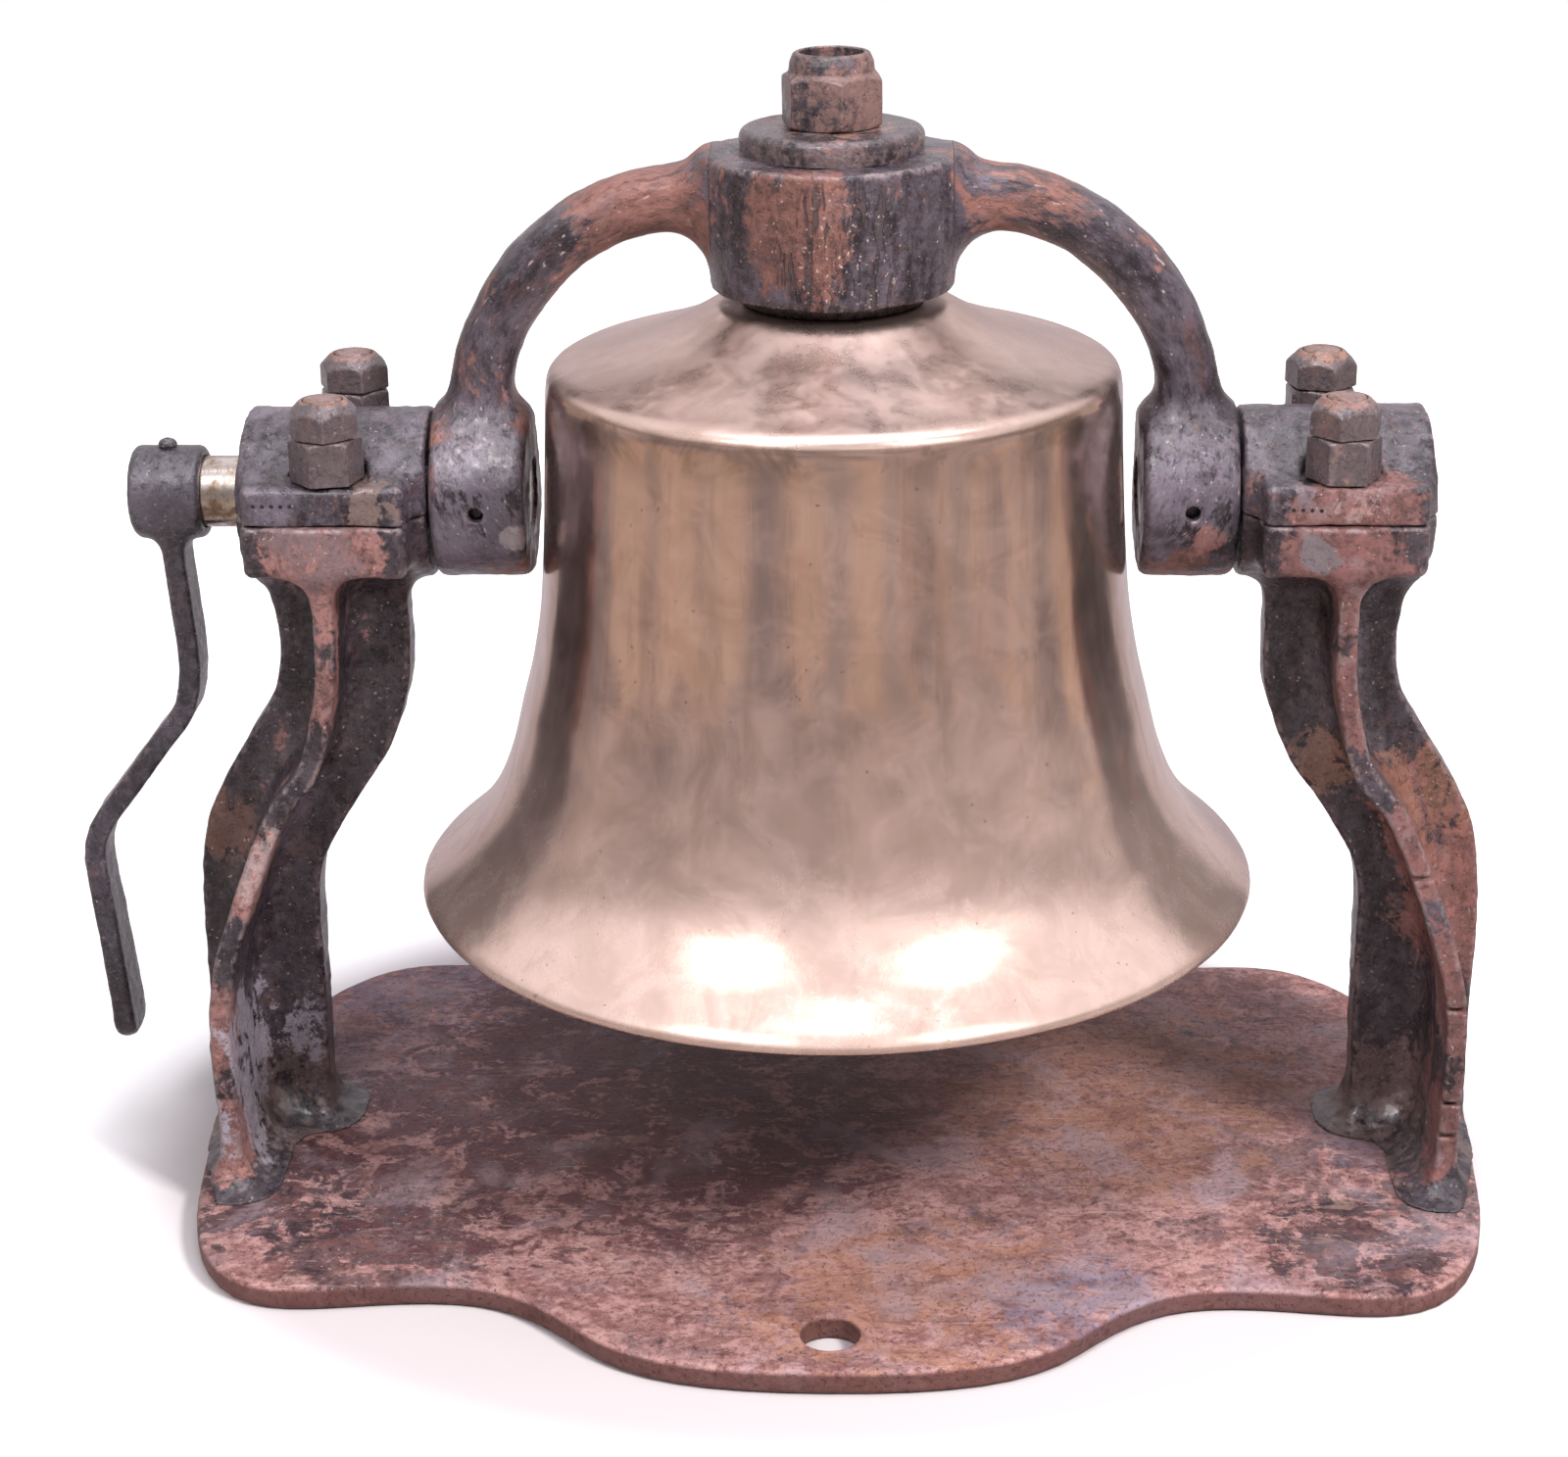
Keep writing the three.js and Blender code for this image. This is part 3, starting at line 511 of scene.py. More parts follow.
# ---- Materials ----
class Nodes:
    """A small helper round one node tree. Sockets pass through its methods."""

    def __init__(self, tree, place):
        self.tree = tree
        tree.nodes.clear()
        coords = self.new("ShaderNodeTexCoord")
        self.place = self.object_place = coords.outputs[place]

    def new(self, kind):
        return self.tree.nodes.new(kind)

    def link(self, output, socket):
        self.tree.links.new(output, socket)

    def put(self, socket, value):
        if hasattr(value, "is_output"):
            self.link(value, socket)
        elif isinstance(value, tuple) and socket.type == "RGBA":
            socket.default_value = (*value, 1)
        else:
            socket.default_value = value

    def math(self, operation, a, b=0.0, clamp=False):
        node = self.new("ShaderNodeMath")
        node.operation = operation
        node.use_clamp = clamp
        self.put(node.inputs[0], a)
        self.put(node.inputs[1], b)
        return node.outputs[0]

    def add(self, *terms):
        total = terms[0]
        for term in terms[1:]:
            total = self.math("ADD", total, term)
        return total

    def times(self, a, b):
        return self.math("MULTIPLY", a, b)

    def shifted(self, shift=(0, 0, 0), stretch=(1, 1, 1), turn=(0, 0, 0)):
        """The place moved, stretched and turned, for a pattern of its own."""
        node = self.new("ShaderNodeMapping")
        node.inputs["Location"].default_value = shift
        node.inputs["Rotation"].default_value = turn
        node.inputs["Scale"].default_value = stretch
        self.put(node.inputs["Vector"], self.place)
        return node.outputs[0]

    def noise(self, size_mm, detail=6.0, rough=0.55, twist=0.0, place=None):
        node = self.new("ShaderNodeTexNoise")
        node.inputs["Scale"].default_value = 1000.0 / size_mm
        node.inputs["Detail"].default_value = detail
        node.inputs["Roughness"].default_value = rough
        node.inputs["Distortion"].default_value = twist
        self.put(node.inputs["Vector"], place or self.place)
        return node.outputs[0]

    def step(self, value, low, high, start=0.0, end=1.0):
        node = self.new("ShaderNodeMapRange")
        node.interpolation_type = "SMOOTHSTEP"
        self.put(node.inputs["Value"], value)
        node.inputs["From Min"].default_value = low
        node.inputs["From Max"].default_value = high
        node.inputs["To Min"].default_value = start
        node.inputs["To Max"].default_value = end
        return node.outputs["Result"]

    def mix(self, amount, a, b):
        node = self.new("ShaderNodeMix")
        node.data_type = "RGBA"
        self.put(node.inputs["Factor"], amount)
        self.put(node.inputs[6], a)
        self.put(node.inputs[7], b)
        return node.outputs[2]

    def axis(self, letter):
        node = self.new("ShaderNodeSeparateXYZ")
        self.put(node.inputs[0], self.object_place)
        return node.outputs[letter]

    def vector(self, x, y, z):
        node = self.new("ShaderNodeCombineXYZ")
        for socket, value in zip(node.inputs, (x, y, z)):
            self.put(socket, value)
        return node.outputs[0]


class Look(Nodes):
    """The nodes of one material, in the object's own coordinates."""

    def __init__(self, name):
        self.material = bpy.data.materials.new(name)
        self.material.use_nodes = True
        super().__init__(self.material.node_tree, "Object")
        self.shader = self.new("ShaderNodeBsdfPrincipled")
        self.link(self.shader.outputs[0], self.new("ShaderNodeOutputMaterial").inputs[0])

    def blob(self, centre, radius):
        """1 at a place in the frame, in millimetres, falling to 0 at that radius."""
        node = self.new("ShaderNodeVectorMath")
        node.operation = "DISTANCE"
        self.put(node.inputs[0], self.object_place)
        node.inputs[1].default_value = [c * MM for c in centre]
        return self.step(node.outputs["Value"], 0.1 * radius * MM, radius * MM, 1, 0)

    def edges(self, low, high):
        node = self.new("ShaderNodeNewGeometry")
        return self.step(node.outputs["Pointiness"], low, high)

    def bump(self, height, depth_mm):
        node = self.new("ShaderNodeBump")
        node.inputs["Distance"].default_value = depth_mm * MM
        self.put(node.inputs["Height"], height)
        return node.outputs[0]

    def finish(self, **sockets):
        for name, value in sockets.items():
            self.put(self.shader.inputs[name.replace("_", " ")], value)
        return self.material


def round_the_arms(k):
    """Coordinates that follow the yoke's arms round, so that marks are drawn out along them."""
    x = k.math("ABSOLUTE", k.axis("X"))
    across = k.math("MAXIMUM", k.math("SUBTRACT", x, ARM_X * MM), 0.0)
    above = k.math("SUBTRACT", k.axis("Z"), ARM_Z * MM)
    bend = k.times(k.math("ARCTAN2", across, k.math("MAXIMUM", above, 0.0)), ARM_R * MM)
    straight = k.math("MINIMUM", above, 0.0)
    inside = k.math("MINIMUM", x, ARM_X * MM)
    along = k.math("SUBTRACT", k.add(inside, bend), straight)
    off = k.math("SQRT", k.add(k.times(across, across), k.times(above, above)))
    side = k.math("SIGN", k.axis("X"))
    in_hub = k.step(x, 0.0580, 0.0586, 1, 0)
    long = k.add(k.times(k.times(along, side), 0.42), k.times(side, 0.4))
    ahead = k.vector(long, k.axis("Y"), off)
    node = k.new("ShaderNodeMix")
    node.data_type = "VECTOR"
    k.put(node.inputs["Factor"], in_hub)
    k.put(node.inputs[4], ahead)
    k.put(node.inputs[5], k.object_place)
    return node.outputs[1]


def iron(name, rust, seed, blobs=(), stains_and_painted_light=(), dark=(0.012, 0.008, 0.012),
         grey=(0.046, 0.036, 0.046), brown=(0.082, 0.038, 0.036), red=(0.25, 0.118, 0.106),
         dust=0.35, worn=0.75, gloss=0.0, soft=0.026, drawn=0.45, after=None, grain_line=None,
         wear=(0.30, 0.225, 0.225), shine=1.0):
    """Old paint over cast iron: dark skin, ragged rust, rubbed edges and dust in the hollows.

    blobs (place, radius, amount) pull rust in or hold it back. stains_and_painted_light (place,
    radius, amount, colour) lie on top with ragged edges; most are stains, and on the base plate some
    are painted shade and painted sheen. drawn stretches the patches downwards.
    """
    k = Look(name)
    if grain_line:
        k.place = grain_line(k)
    shift = (seed * 0.37, seed * 0.61, seed * 0.23)
    home = k.shifted(shift=shift)
    fall = k.shifted(shift=shift, stretch=(1, 1, drawn))
    wide = k.noise(75, 4, 0.5, 0.6, fall)
    patchy = k.noise(22, 10, 0.68, 0.9, fall)
    flake = k.noise(6, 8, 0.70, 0.4, home)
    fine = k.noise(4.5, 6, 0.62, 0.2, home)
    grain = k.noise(1.2, 4, 0.6, 0.0, home)
    slanted = k.shifted(shift=shift, turn=(0, 0, 0.5), stretch=(0.8, 1, drawn))
    loose = k.noise(26, 10, 0.62, 1.2, slanted)
    pull = k.add(k.times(wide, 0.42), k.times(patchy, 0.34), k.times(flake, 0.24))
    for centre, radius, amount in blobs:
        pull = k.add(pull, k.times(k.blob(centre, radius), amount))
    edge = 0.5 + (0.5 - rust) * 0.26
    rusty = k.step(pull, edge - soft, edge + soft)
    skin_tone = k.mix(k.step(k.add(k.times(fine, 0.4), k.times(patchy, 0.6)), 0.40, 0.62), dark, grey)
    skin_tone = k.mix(k.step(k.noise(33, 6, 0.6, 0.4, fall), 0.52, 0.70, 0, 0.8), skin_tone,
                      tuple(c * 1.7 for c in grey))
    skin_tone = k.mix(k.step(k.noise(12, 8, 0.7, 0.6, home), 0.53, 0.66, 0, 0.45), skin_tone, brown)
    rust_tone = k.mix(k.step(k.add(k.times(flake, 0.5), k.times(patchy, 0.5)), 0.40, 0.60), brown, red)
    rust_tone = k.mix(k.step(k.noise(30, 6, 0.6, 0.5, home), 0.52, 0.68, 0, 0.7), rust_tone,
                      (0.19, 0.118, 0.122))
    rust_tone = k.mix(k.step(grain, 0.54, 0.72, 0, 0.45), rust_tone, tuple(c * 1.3 for c in red))
    rust_tone = k.mix(k.step(grain, 0.42, 0.30, 0, 0.55), rust_tone, (0.060, 0.034, 0.036))
    skin_tone = k.mix(k.step(grain, 0.58, 0.74, 0, 0.5), skin_tone, tuple(c * 2.2 for c in grey))
    tone = k.mix(rusty, skin_tone, rust_tone)
    ragged = k.add(k.times(loose, 3.6), k.times(fine, 1.5), k.times(grain, 0.8), -2.2)
    for centre, radius, amount, colour in stains_and_painted_light:
        spot = k.times(k.blob(centre, radius * 1.45), ragged)
        tone = k.mix(k.step(spot, 0.42, 0.60, 0, amount), tone, colour)
    specks = k.times(k.step(k.noise(2.2, 3, 0.5, 0, home), 0.67, 0.72), 0.6)
    tone = k.mix(specks, tone, (0.40, 0.31, 0.29))
    hollow = k.times(k.edges(0.496, 0.474), k.step(patchy, 0.40, 0.60, 0, dust))
    tone = k.mix(hollow, tone, (0.25, 0.185, 0.165))
    rubbed = k.times(k.edges(0.514, 0.545), k.step(k.add(k.times(fine, 0.6), k.times(patchy, 0.4)),
                                                   0.44, 0.60, 0, worn))
    rubbed = k.times(rubbed, k.step(k.axis("Z"), 0.020, 0.035))
    tone = k.mix(rubbed, tone, wear)
    rough = k.mix(k.step(fine, 0.3, 0.7), (0.24 - gloss,) * 3, (0.42 - gloss,) * 3)
    rough = k.mix(rusty, rough, (0.52,) * 3)
    rough = k.mix(rubbed, rough, (0.33,) * 3)
    rough = k.mix(hollow, rough, (0.9,) * 3)
    metal = k.add(k.times(rubbed, 0.7), 0.12)
    pits = k.step(k.noise(3.0, 6, 0.66, 0.3, home), 0.30, 0.46)
    height = k.add(k.times(patchy, 0.8), k.times(flake, 0.8), k.times(grain, 0.25),
                   k.times(rusty, -0.30), k.times(pits, 0.40))
    if after:
        tone, height = after(k, tone, height)
    coat = k.times(k.math("SUBTRACT", 0.50, k.times(k.add(rusty, hollow), 0.32), clamp=True), shine)
    return k.finish(Base_Color=tone, Roughness=rough, Metallic=metal, Normal=k.bump(height, 1.2),
                    Coat_Weight=coat, Coat_Roughness=k.step(fine, 0.35, 0.65, 0.20, 0.38),
                    Specular_IOR_Level=0.5 * shine)


def base_marks(k, tone, bumps):
    """Mottling, fine scratches, a purple-grey painted sheen and the redder, darker rim of the base
    plate.
    """
    mottle = k.noise(15, 10, 0.68, 1.0, k.shifted(stretch=(0.6, 1, 1), turn=(0, 0, 0.35)))
    tone = k.mix(k.step(mottle, 0.50, 0.60, 0, 0.60), tone, (0.150, 0.066, 0.060))
    tone = k.mix(k.step(mottle, 0.43, 0.36, 0, 0.30), tone, (0.45, 0.28, 0.23))
    # painted sheen: purple-grey patches over the plate
    painted_sheen = k.noise(70, 6, 0.6, 0.6, k.shifted(shift=(3, 1, 0)))
    tone = k.mix(k.step(painted_sheen, 0.50, 0.66, 0, 0.5), tone, (0.33, 0.25, 0.28))
    for bend, spin in ((0.3, 0.4), (1.4, -0.7)):
        lines = k.noise(2.2, 4, 0.6, bend, k.shifted(stretch=(0.05, 1, 1), turn=(0, 0, spin)))
        tone = k.mix(k.step(lines, 0.66, 0.70, 0, 0.4), tone, (0.52, 0.40, 0.37))
    pocks = k.step(k.noise(3.6, 4, 0.6), 0.66, 0.71)
    tone = k.mix(k.times(pocks, 0.75), tone, (0.040, 0.028, 0.034))
    rim = k.step(k.axis("Z"), 0.0118, 0.0095)
    tone = k.mix(k.times(rim, 0.85), tone, (0.125, 0.055, 0.050))
    return tone, k.add(bumps, k.times(mottle, -0.5), k.times(pocks, -0.5))


def chiselled(k, tone, bumps):
    """Dark upright cuts and bright flecks down the front of the hub."""
    front = k.blob((8, -62, 496), 52)
    cuts = k.noise(4.2, 5, 0.6, 0.6, k.shifted(stretch=(1, 1, 0.14)))
    cut = k.times(k.step(cuts, 0.53, 0.60), k.step(front, 0.15, 0.45))
    tone = k.mix(k.times(cut, 0.8), tone, (0.050, 0.036, 0.040))
    fleck = k.times(k.step(k.noise(2.4, 3, 0.5), 0.64, 0.69), k.step(front, 0.3, 0.6))
    tone = k.mix(k.times(fleck, 0.8), tone, (0.42, 0.33, 0.31))
    return tone, k.add(bumps, k.times(cut, -1.2))


def punch_dots(first, pitch, count, height, face):
    """A row of punched dots along X on a face that looks forwards."""
    def mark(k, tone, bumps):
        along = k.math("DIVIDE", k.math("SUBTRACT", k.axis("X"), (first - pitch / 2) * MM), pitch * MM)
        inside = k.times(k.math("GREATER_THAN", along, 0.0), k.math("LESS_THAN", along, float(count)))
        u = k.times(k.math("SUBTRACT", k.math("FRACT", along), 0.5), pitch * MM)
        v = k.math("SUBTRACT", k.axis("Z"), height * MM)
        far = k.math("SQRT", k.add(k.times(u, u), k.times(v, v)))
        dot = k.times(k.times(k.step(far, 0.0011, 0.0007), inside),
                      k.math("LESS_THAN", k.axis("Y"), (face + 1.5) * MM))
        return k.mix(dot, tone, (0.012, 0.010, 0.012)), k.add(bumps, k.times(dot, -1.5))
    return mark


def bronze():
    """Polished bell bronze: streaks, tarnish, fine scratches and small pits, with painted reflections
    round the crown.
    """
    k = Look("bell_bronze")
    streak = k.noise(14, 5, 0.6, 0.3, k.shifted(stretch=(1, 1, 0.07)))
    broad = k.noise(60, 5, 0.55, 0.5, k.shifted(stretch=(1, 1, 0.35)))
    cloud = k.noise(34, 8, 0.65, 0.8)
    rings = k.noise(2.2, 3, 0.5, 0, k.shifted(stretch=(0.05, 0.05, 1)))
    slant = k.noise(1.6, 3, 0.55, 0, k.shifted(stretch=(1, 1, 0.05), turn=(0.25, 0.85, 0.1)))
    slant2 = k.noise(1.1, 2, 0.5, 0, k.shifted(stretch=(1, 0.6, 0.04), turn=(-0.5, -0.55, 0.7)))
    tone = k.mix(k.step(cloud, 0.35, 0.65), (0.62, 0.462, 0.404), (0.79, 0.602, 0.540))
    tone = k.mix(k.step(streak, 0.52, 0.72, 0, 0.45), tone, (0.47, 0.325, 0.265))
    tone = k.mix(k.step(broad, 0.52, 0.70, 0, 0.45), tone, (0.56, 0.395, 0.325))
    z = k.axis("Z")
    lower = k.step(z, 0.30, 0.17, 0, 1)
    tone = k.mix(k.times(lower, 0.35), tone, (0.76, 0.565, 0.485))
    shoulder = k.times(k.step(z, 0.395, 0.420), k.step(z, 0.4290, 0.4265))
    tone = k.mix(k.times(shoulder, k.step(cloud, 0.42, 0.60, 0, 0.65)), tone, (0.30, 0.205, 0.15))
    specks = k.step(k.noise(3.4, 3, 0.5), 0.70, 0.735)
    tone = k.mix(k.times(specks, 0.55), tone, (0.27, 0.16, 0.12))
    crown = k.step(z, 0.4235, 0.4300)
    tone = k.mix(k.times(crown, 0.60), tone, (0.66, 0.505, 0.450))
    # tarnish with painted reflections: darker patches swept round the crown
    swept_tarnish_and_reflection = k.noise(24, 8, 0.6, 0.8, k.shifted(shift=(0.2, 0.5, 0), stretch=(0.45, 1, 1)))
    tone = k.mix(k.times(k.step(z, 0.40, 0.43), k.step(swept_tarnish_and_reflection, 0.46, 0.66, 0, 0.18)), tone,
                 (0.50, 0.36, 0.29))
    dull = k.add(k.times(k.step(cloud, 0.35, 0.7), 0.08), k.times(k.step(streak, 0.4, 0.7), 0.06),
                 k.times(k.step(slant, 0.55, 0.7), 0.05), k.times(lower, 0.08), 0.10,
                 k.times(crown, k.step(streak, 0.35, 0.65, 0.14, 0.22)))
    height = k.add(k.times(slant, 0.5), k.times(slant2, 0.35), k.times(rings, 0.35),
                   k.times(k.noise(9, 3, 0.5), 0.9), k.times(specks, -0.8))
    metal = k.step(z, 0.32, 0.18, 0.96, 0.82)
    return k.finish(Base_Color=tone, Roughness=dull, Metallic=metal, Normal=k.bump(height, 0.045))


def bright_steel():
    """A turned shaft: bright, with brown staining and fine turning marks."""
    k = Look("bright_steel")
    stain = k.noise(7, 8, 0.65, 0.2)
    lines = k.noise(0.9, 3, 0.5, 0, k.shifted(stretch=(1, 0.03, 0.03)))
    tone = k.mix(k.step(stain, 0.42, 0.66), (0.62, 0.57, 0.54), (0.30, 0.21, 0.15))
    dull = k.add(k.times(k.step(stain, 0.4, 0.7), 0.22), k.times(lines, 0.12), 0.12)
    return k.finish(Base_Color=tone, Roughness=dull, Metallic=1.0, Normal=k.bump(lines, 0.06))


def dull_brass():
    k = Look("dull_brass")
    stain = k.noise(12, 6, 0.6, 0.4)
    marks = k.noise(1.0, 3, 0.5, 0, k.shifted(stretch=(0.08, 1, 1)))
    tone = k.mix(k.step(stain, 0.4, 0.66), (0.60, 0.45, 0.20), (0.24, 0.155, 0.08))
    dull = k.add(k.times(stain, 0.3), 0.25)
    return k.finish(Base_Color=tone, Roughness=dull, Metallic=1.0, Normal=k.bump(marks, 0.05))


# the blue-grey colour also stands for a painted sheen, and the near-black one for painted shade as
# well as dirt
RED_RUST, ORANGE, BURNT = (0.23, 0.085, 0.066), (0.33, 0.150, 0.085), (0.20, 0.085, 0.050)
PALE, BLUE_GREY_AND_SHEEN, DARK_DIRT_AND_SHADE = (0.46, 0.38, 0.37), (0.15, 0.14, 0.21), (0.028, 0.020, 0.026)
SLATE = (0.125, 0.102, 0.130)
IRON_RIGHT = iron("right_upright_iron", 0.20, 1.0, red=(0.165, 0.069, 0.063), blobs=[
    ((248, -64, 350), 56, 0.22), ((258, -58, 270), 34, 0.18), ((290, -66, 200), 34, 0.24),
    ((312, -78, 120), 46, 0.26), ((312, -86, 50), 40, 0.26), ((300, -40, 200), 60, 0.10)], stains_and_painted_light=[
        ((238, -64, 352), 15, 0.8, (0.12, 0.105, 0.115)), ((300, -12, 205), 40, 0.6, BURNT),
        ((330, 0, 150), 60, 0.5, RED_RUST), ((250, -12, 222), 24, 0.35, ORANGE),
        ((300, -20, 22), 62, 0.8, (0.120, 0.075, 0.070))])
IRON_LEFT = iron("left_upright_iron", 0.12, 2.0, blobs=[
    ((-250, -64, 352), 50, 0.20), ((-256, -58, 270), 30, 0.14), ((-296, -70, 180), 40, 0.18),
    ((-314, -84, 100), 36, 0.24), ((-314, -88, 40), 36, 0.26)], stains_and_painted_light=[
        ((-248, -64, 348), 36, 0.7, (0.135, 0.092, 0.098)),
        ((-296, -70, 190), 30, 0.3, PALE), ((-306, -20, 26), 52, 0.8, (0.125, 0.082, 0.074)),
        ((-304, -52, 64), 60, 0.9, (0.27, 0.235, 0.275)),
        ((-322, -10, 185), 30, 0.4, BURNT)])
IRON_CAP_LEFT = iron("left_cap_iron", 0.12, 3.0, grey=(0.074, 0.060, 0.078), worn=0.6,
                     blobs=[((-262, -62, 366), 20, 0.06)], stains_and_painted_light=[
                         ((-226, -60, 372), 22, 0.7, (0.16, 0.105, 0.09))],
                     after=punch_dots(-281, 4.5, 5, 374.2, -62))
IRON_CAP_RIGHT = iron("right_cap_iron", 0.14, 4.0, grey=(0.070, 0.057, 0.072), worn=0.6,
                      red=(0.185, 0.083, 0.073),
                      blobs=[((250, -66, 371), 44, 0.30)], stains_and_painted_light=[
                          ((256, -62, 374), 20, 0.22, PALE),
                          ((222, -62, 380), 14, 0.7, (0.12, 0.1, 0.115))],
                      after=punch_dots(217.5, 4.4, 5, 371.5, -62))
IRON_YOKE = iron("yoke_iron", 0.46, 5.0, blobs=[
    ((-14, -60, 505), 46, 0.14), ((52, -44, 500), 30, -0.30), ((-50, -36, 478), 24, -0.16),
    ((176, -30, 363), 56, -0.12), ((-176, -30, 363), 60, -0.15), ((176, -40, 336), 18, 0.26),
    ((128, -16, 478), 50, -0.06), ((-150, -14, 440), 40, -0.10), ((178, -10, 425), 62, -0.50),
    ((-100, -14, 500), 50, 0.09), ((100, -14, 502), 40, 0.08), ((-178, -10, 410), 30, -0.10)], stains_and_painted_light=[
        ((-176, -40, 366), 40, 0.5, SLATE), ((176, -40, 372), 34, 0.5, SLATE),
        ((-156, -44, 350), 11, 0.35, PALE), ((182, -44, 350), 13, 0.6, RED_RUST)],
    grey=(0.074, 0.058, 0.074), brown=(0.080, 0.035, 0.031), red=(0.190, 0.085, 0.068), gloss=0.06,
    grain_line=round_the_arms, after=chiselled)
IRON_LEVER = iron("lever_iron", 0.16, 6.0, blobs=[((-335, -22, 372), 26, -0.08)],
                  dark=(0.018, 0.015, 0.021), grey=(0.050, 0.043, 0.056), gloss=0.07, drawn=0.25,
                  stains_and_painted_light=[((-335, -20, 366), 26, 0.5, (0.062, 0.052, 0.066))])
IRON_NUT = iron("nut_iron", 0.12, 7.0, dark=(0.055, 0.040, 0.045), grey=(0.085, 0.062, 0.066),
                brown=(0.10, 0.055, 0.042), red=(0.235, 0.130, 0.100), gloss=0.05, soft=0.05, blobs=[
                    ((x, y, 425), 18, 0.50) for x in (-STUD_X, STUD_X) for y in (-STUD_Y, STUD_Y)])
IRON_TOP = iron("top_iron", 0.50, 8.0, dark=(0.022, 0.016, 0.020), grey=(0.070, 0.05, 0.055),
                brown=(0.100, 0.055, 0.050), red=(0.175, 0.100, 0.090), gloss=0.12, drawn=1.0,
                blobs=[((0, 0, 578), 20, -0.12)],
                stains_and_painted_light=[((0, 0, 530), 38, 0.9, (0.30, 0.140, 0.085))])
IRON_BASE = iron("base_iron", 0.86, 9.0, drawn=1.0, dust=0.5, brown=(0.195, 0.085, 0.080),
                 red=(0.42, 0.240, 0.225), grey=(0.15, 0.110, 0.135), soft=0.08, shine=0.35,
                 after=base_marks, stains_and_painted_light=[
                     # painted light among these: the blue-grey patches are stains with a painted
                     # sheen, widest at the back left, and the near-black patches at the left front
                     # corner are dirt with painted shade
                     ((-200, 90, 12), 190, 0.55, BLUE_GREY_AND_SHEEN), ((-290, -85, 12), 85, 0.85, DARK_DIRT_AND_SHADE),
                     ((-225, -140, 12), 80, 0.7, DARK_DIRT_AND_SHADE), ((300, -20, 12), 80, 0.5, BLUE_GREY_AND_SHEEN),
                     ((262, -138, 12), 62, 0.85, DARK_DIRT_AND_SHADE), ((316, -88, 12), 56, 0.8, (0.09, 0.07, 0.075)),
                     ((230, -60, 12), 60, 0.5, DARK_DIRT_AND_SHADE), ((40, -190, 12), 110, 0.5, ORANGE),
                     # painted shadow of the bell: the dark red patch round the middle of the plate
                     ((-120, 20, 12), 230, 0.85, (0.080, 0.028, 0.033)),
                     ((150, 30, 12), 150, 0.5, ORANGE), ((120, -200, 12), 60, 0.6, BLUE_GREY_AND_SHEEN)])
IRON_HANGER = iron("hanger_iron", 0.50, 11.0, dark=(0.016, 0.013, 0.018), grey=(0.055, 0.042, 0.050),
                   brown=(0.105, 0.060, 0.055), red=(0.160, 0.092, 0.082), gloss=0.10, drawn=0.6)
# Painted shade: near-black iron for the parts that sit in deep shade, such as the clapper inside the
# bell, the spacer in the gap under the hub and the pins and bolt in their bores
IRON_IN_PAINTED_SHADE = iron("inner_iron_painted_shade", 0.20, 10.0, dark=(0.005, 0.004, 0.005), grey=(0.016, 0.012, 0.014),
                 brown=(0.040, 0.018, 0.014), red=(0.08, 0.035, 0.025), worn=0.3)
BRONZE, STEEL, BRASS = bronze(), bright_steel(), dull_brass()


# ---- Pieces ----
ROUGH_CAST = [(26, 0.4), (7, 0.32)]
FOOT_DIRT = Noise(23)


def dirty_foot(verts, faces):
    """Lumps of cast bead and dirt that fill the corner round a foot."""
    return roughen(verts, faces, FOOT_DIRT, [(11, 1.0), (4.5, 0.6)],
                   lambda v: np.clip((46 - v[:, 2]) / 30, 0, 1) * np.clip((v[:, 2] - 13) / 2, 0, 1))


for side, word, seed, field, look, cap_look in (
        (1, "right", 11, notched_upright_field, IRON_RIGHT, IRON_CAP_RIGHT),
        (-1, "left", 12, upright_field, IRON_LEFT, IRON_CAP_LEFT)):
    cast(f"upright_casting_{word}", field, (202, -114, 12.4), (337, 114, 363.3), 1.6, seed,
         ROUGH_CAST, CRADLE, look, "cast_iron", [f"upright_{word}"], away_from(200),
         flip=side < 0, marks=dirty_foot)
    cast(f"cap_casting_{word}", cap_field, (200.5, -62, 363.7), (293, 62, 406), 1.15, seed + 2,
         [(15, 0.45), (5, 0.25)], CRADLE, cap_look, "cast_iron", [f"bearing_cap_{word}"],
         away_from(200), flip=side < 0)
CHISEL = Noise(24, stretch=(1, 1, 7))


def gouged(verts, faces):
    """Long downward gouges in the front of the hub."""
    return roughen(verts, faces, CHISEL, [(5, 0.8), (2.6, 0.4)], lambda v: (
        np.exp(-((v[:, 0] - 8) / 27) ** 2) * np.clip((-v[:, 1] - 42) / 8, 0, 1)
        * np.clip((529 - v[:, 2]) / 12, 0, 1)))


cast("yoke_casting", yoke_field, (-199.7, -62, 321), (199.7, 62, 541), 1.5, 15,
     [(22, 0.5), (6, 0.28)], YOKE, IRON_YOKE, "rusty_iron", ["yoke"], away_from(200),
     marks=gouged)
cast("base_casting", base_field, (-337, -256, 0), (337, 256, 12.5), (2.4, 2.4, 0.9), 16,
     [(60, 0.25), (9, 0.12)], CRADLE, IRON_BASE, "rusty_iron", ["base_plate"],
     lambda v: np.clip((v[:, 2] - 1) / 3, 0, 1))
cast("lever_forging", crank_field, (-397, -24, 56), (-317, 24, 388), 1.0, 17,
     [(12, 0.25), (4, 0.12)], YOKE, IRON_LEVER, "cast_iron", ["crank_lever"])
cast("hanger_nut_turned", hanger_nut_field, (-26, -26, 546), (26, 26, 582), 0.6, 18,
     [(9, 0.12), (3, 0.06)], YOKE, IRON_HANGER, "rusty_iron", ["hanger_nut"])
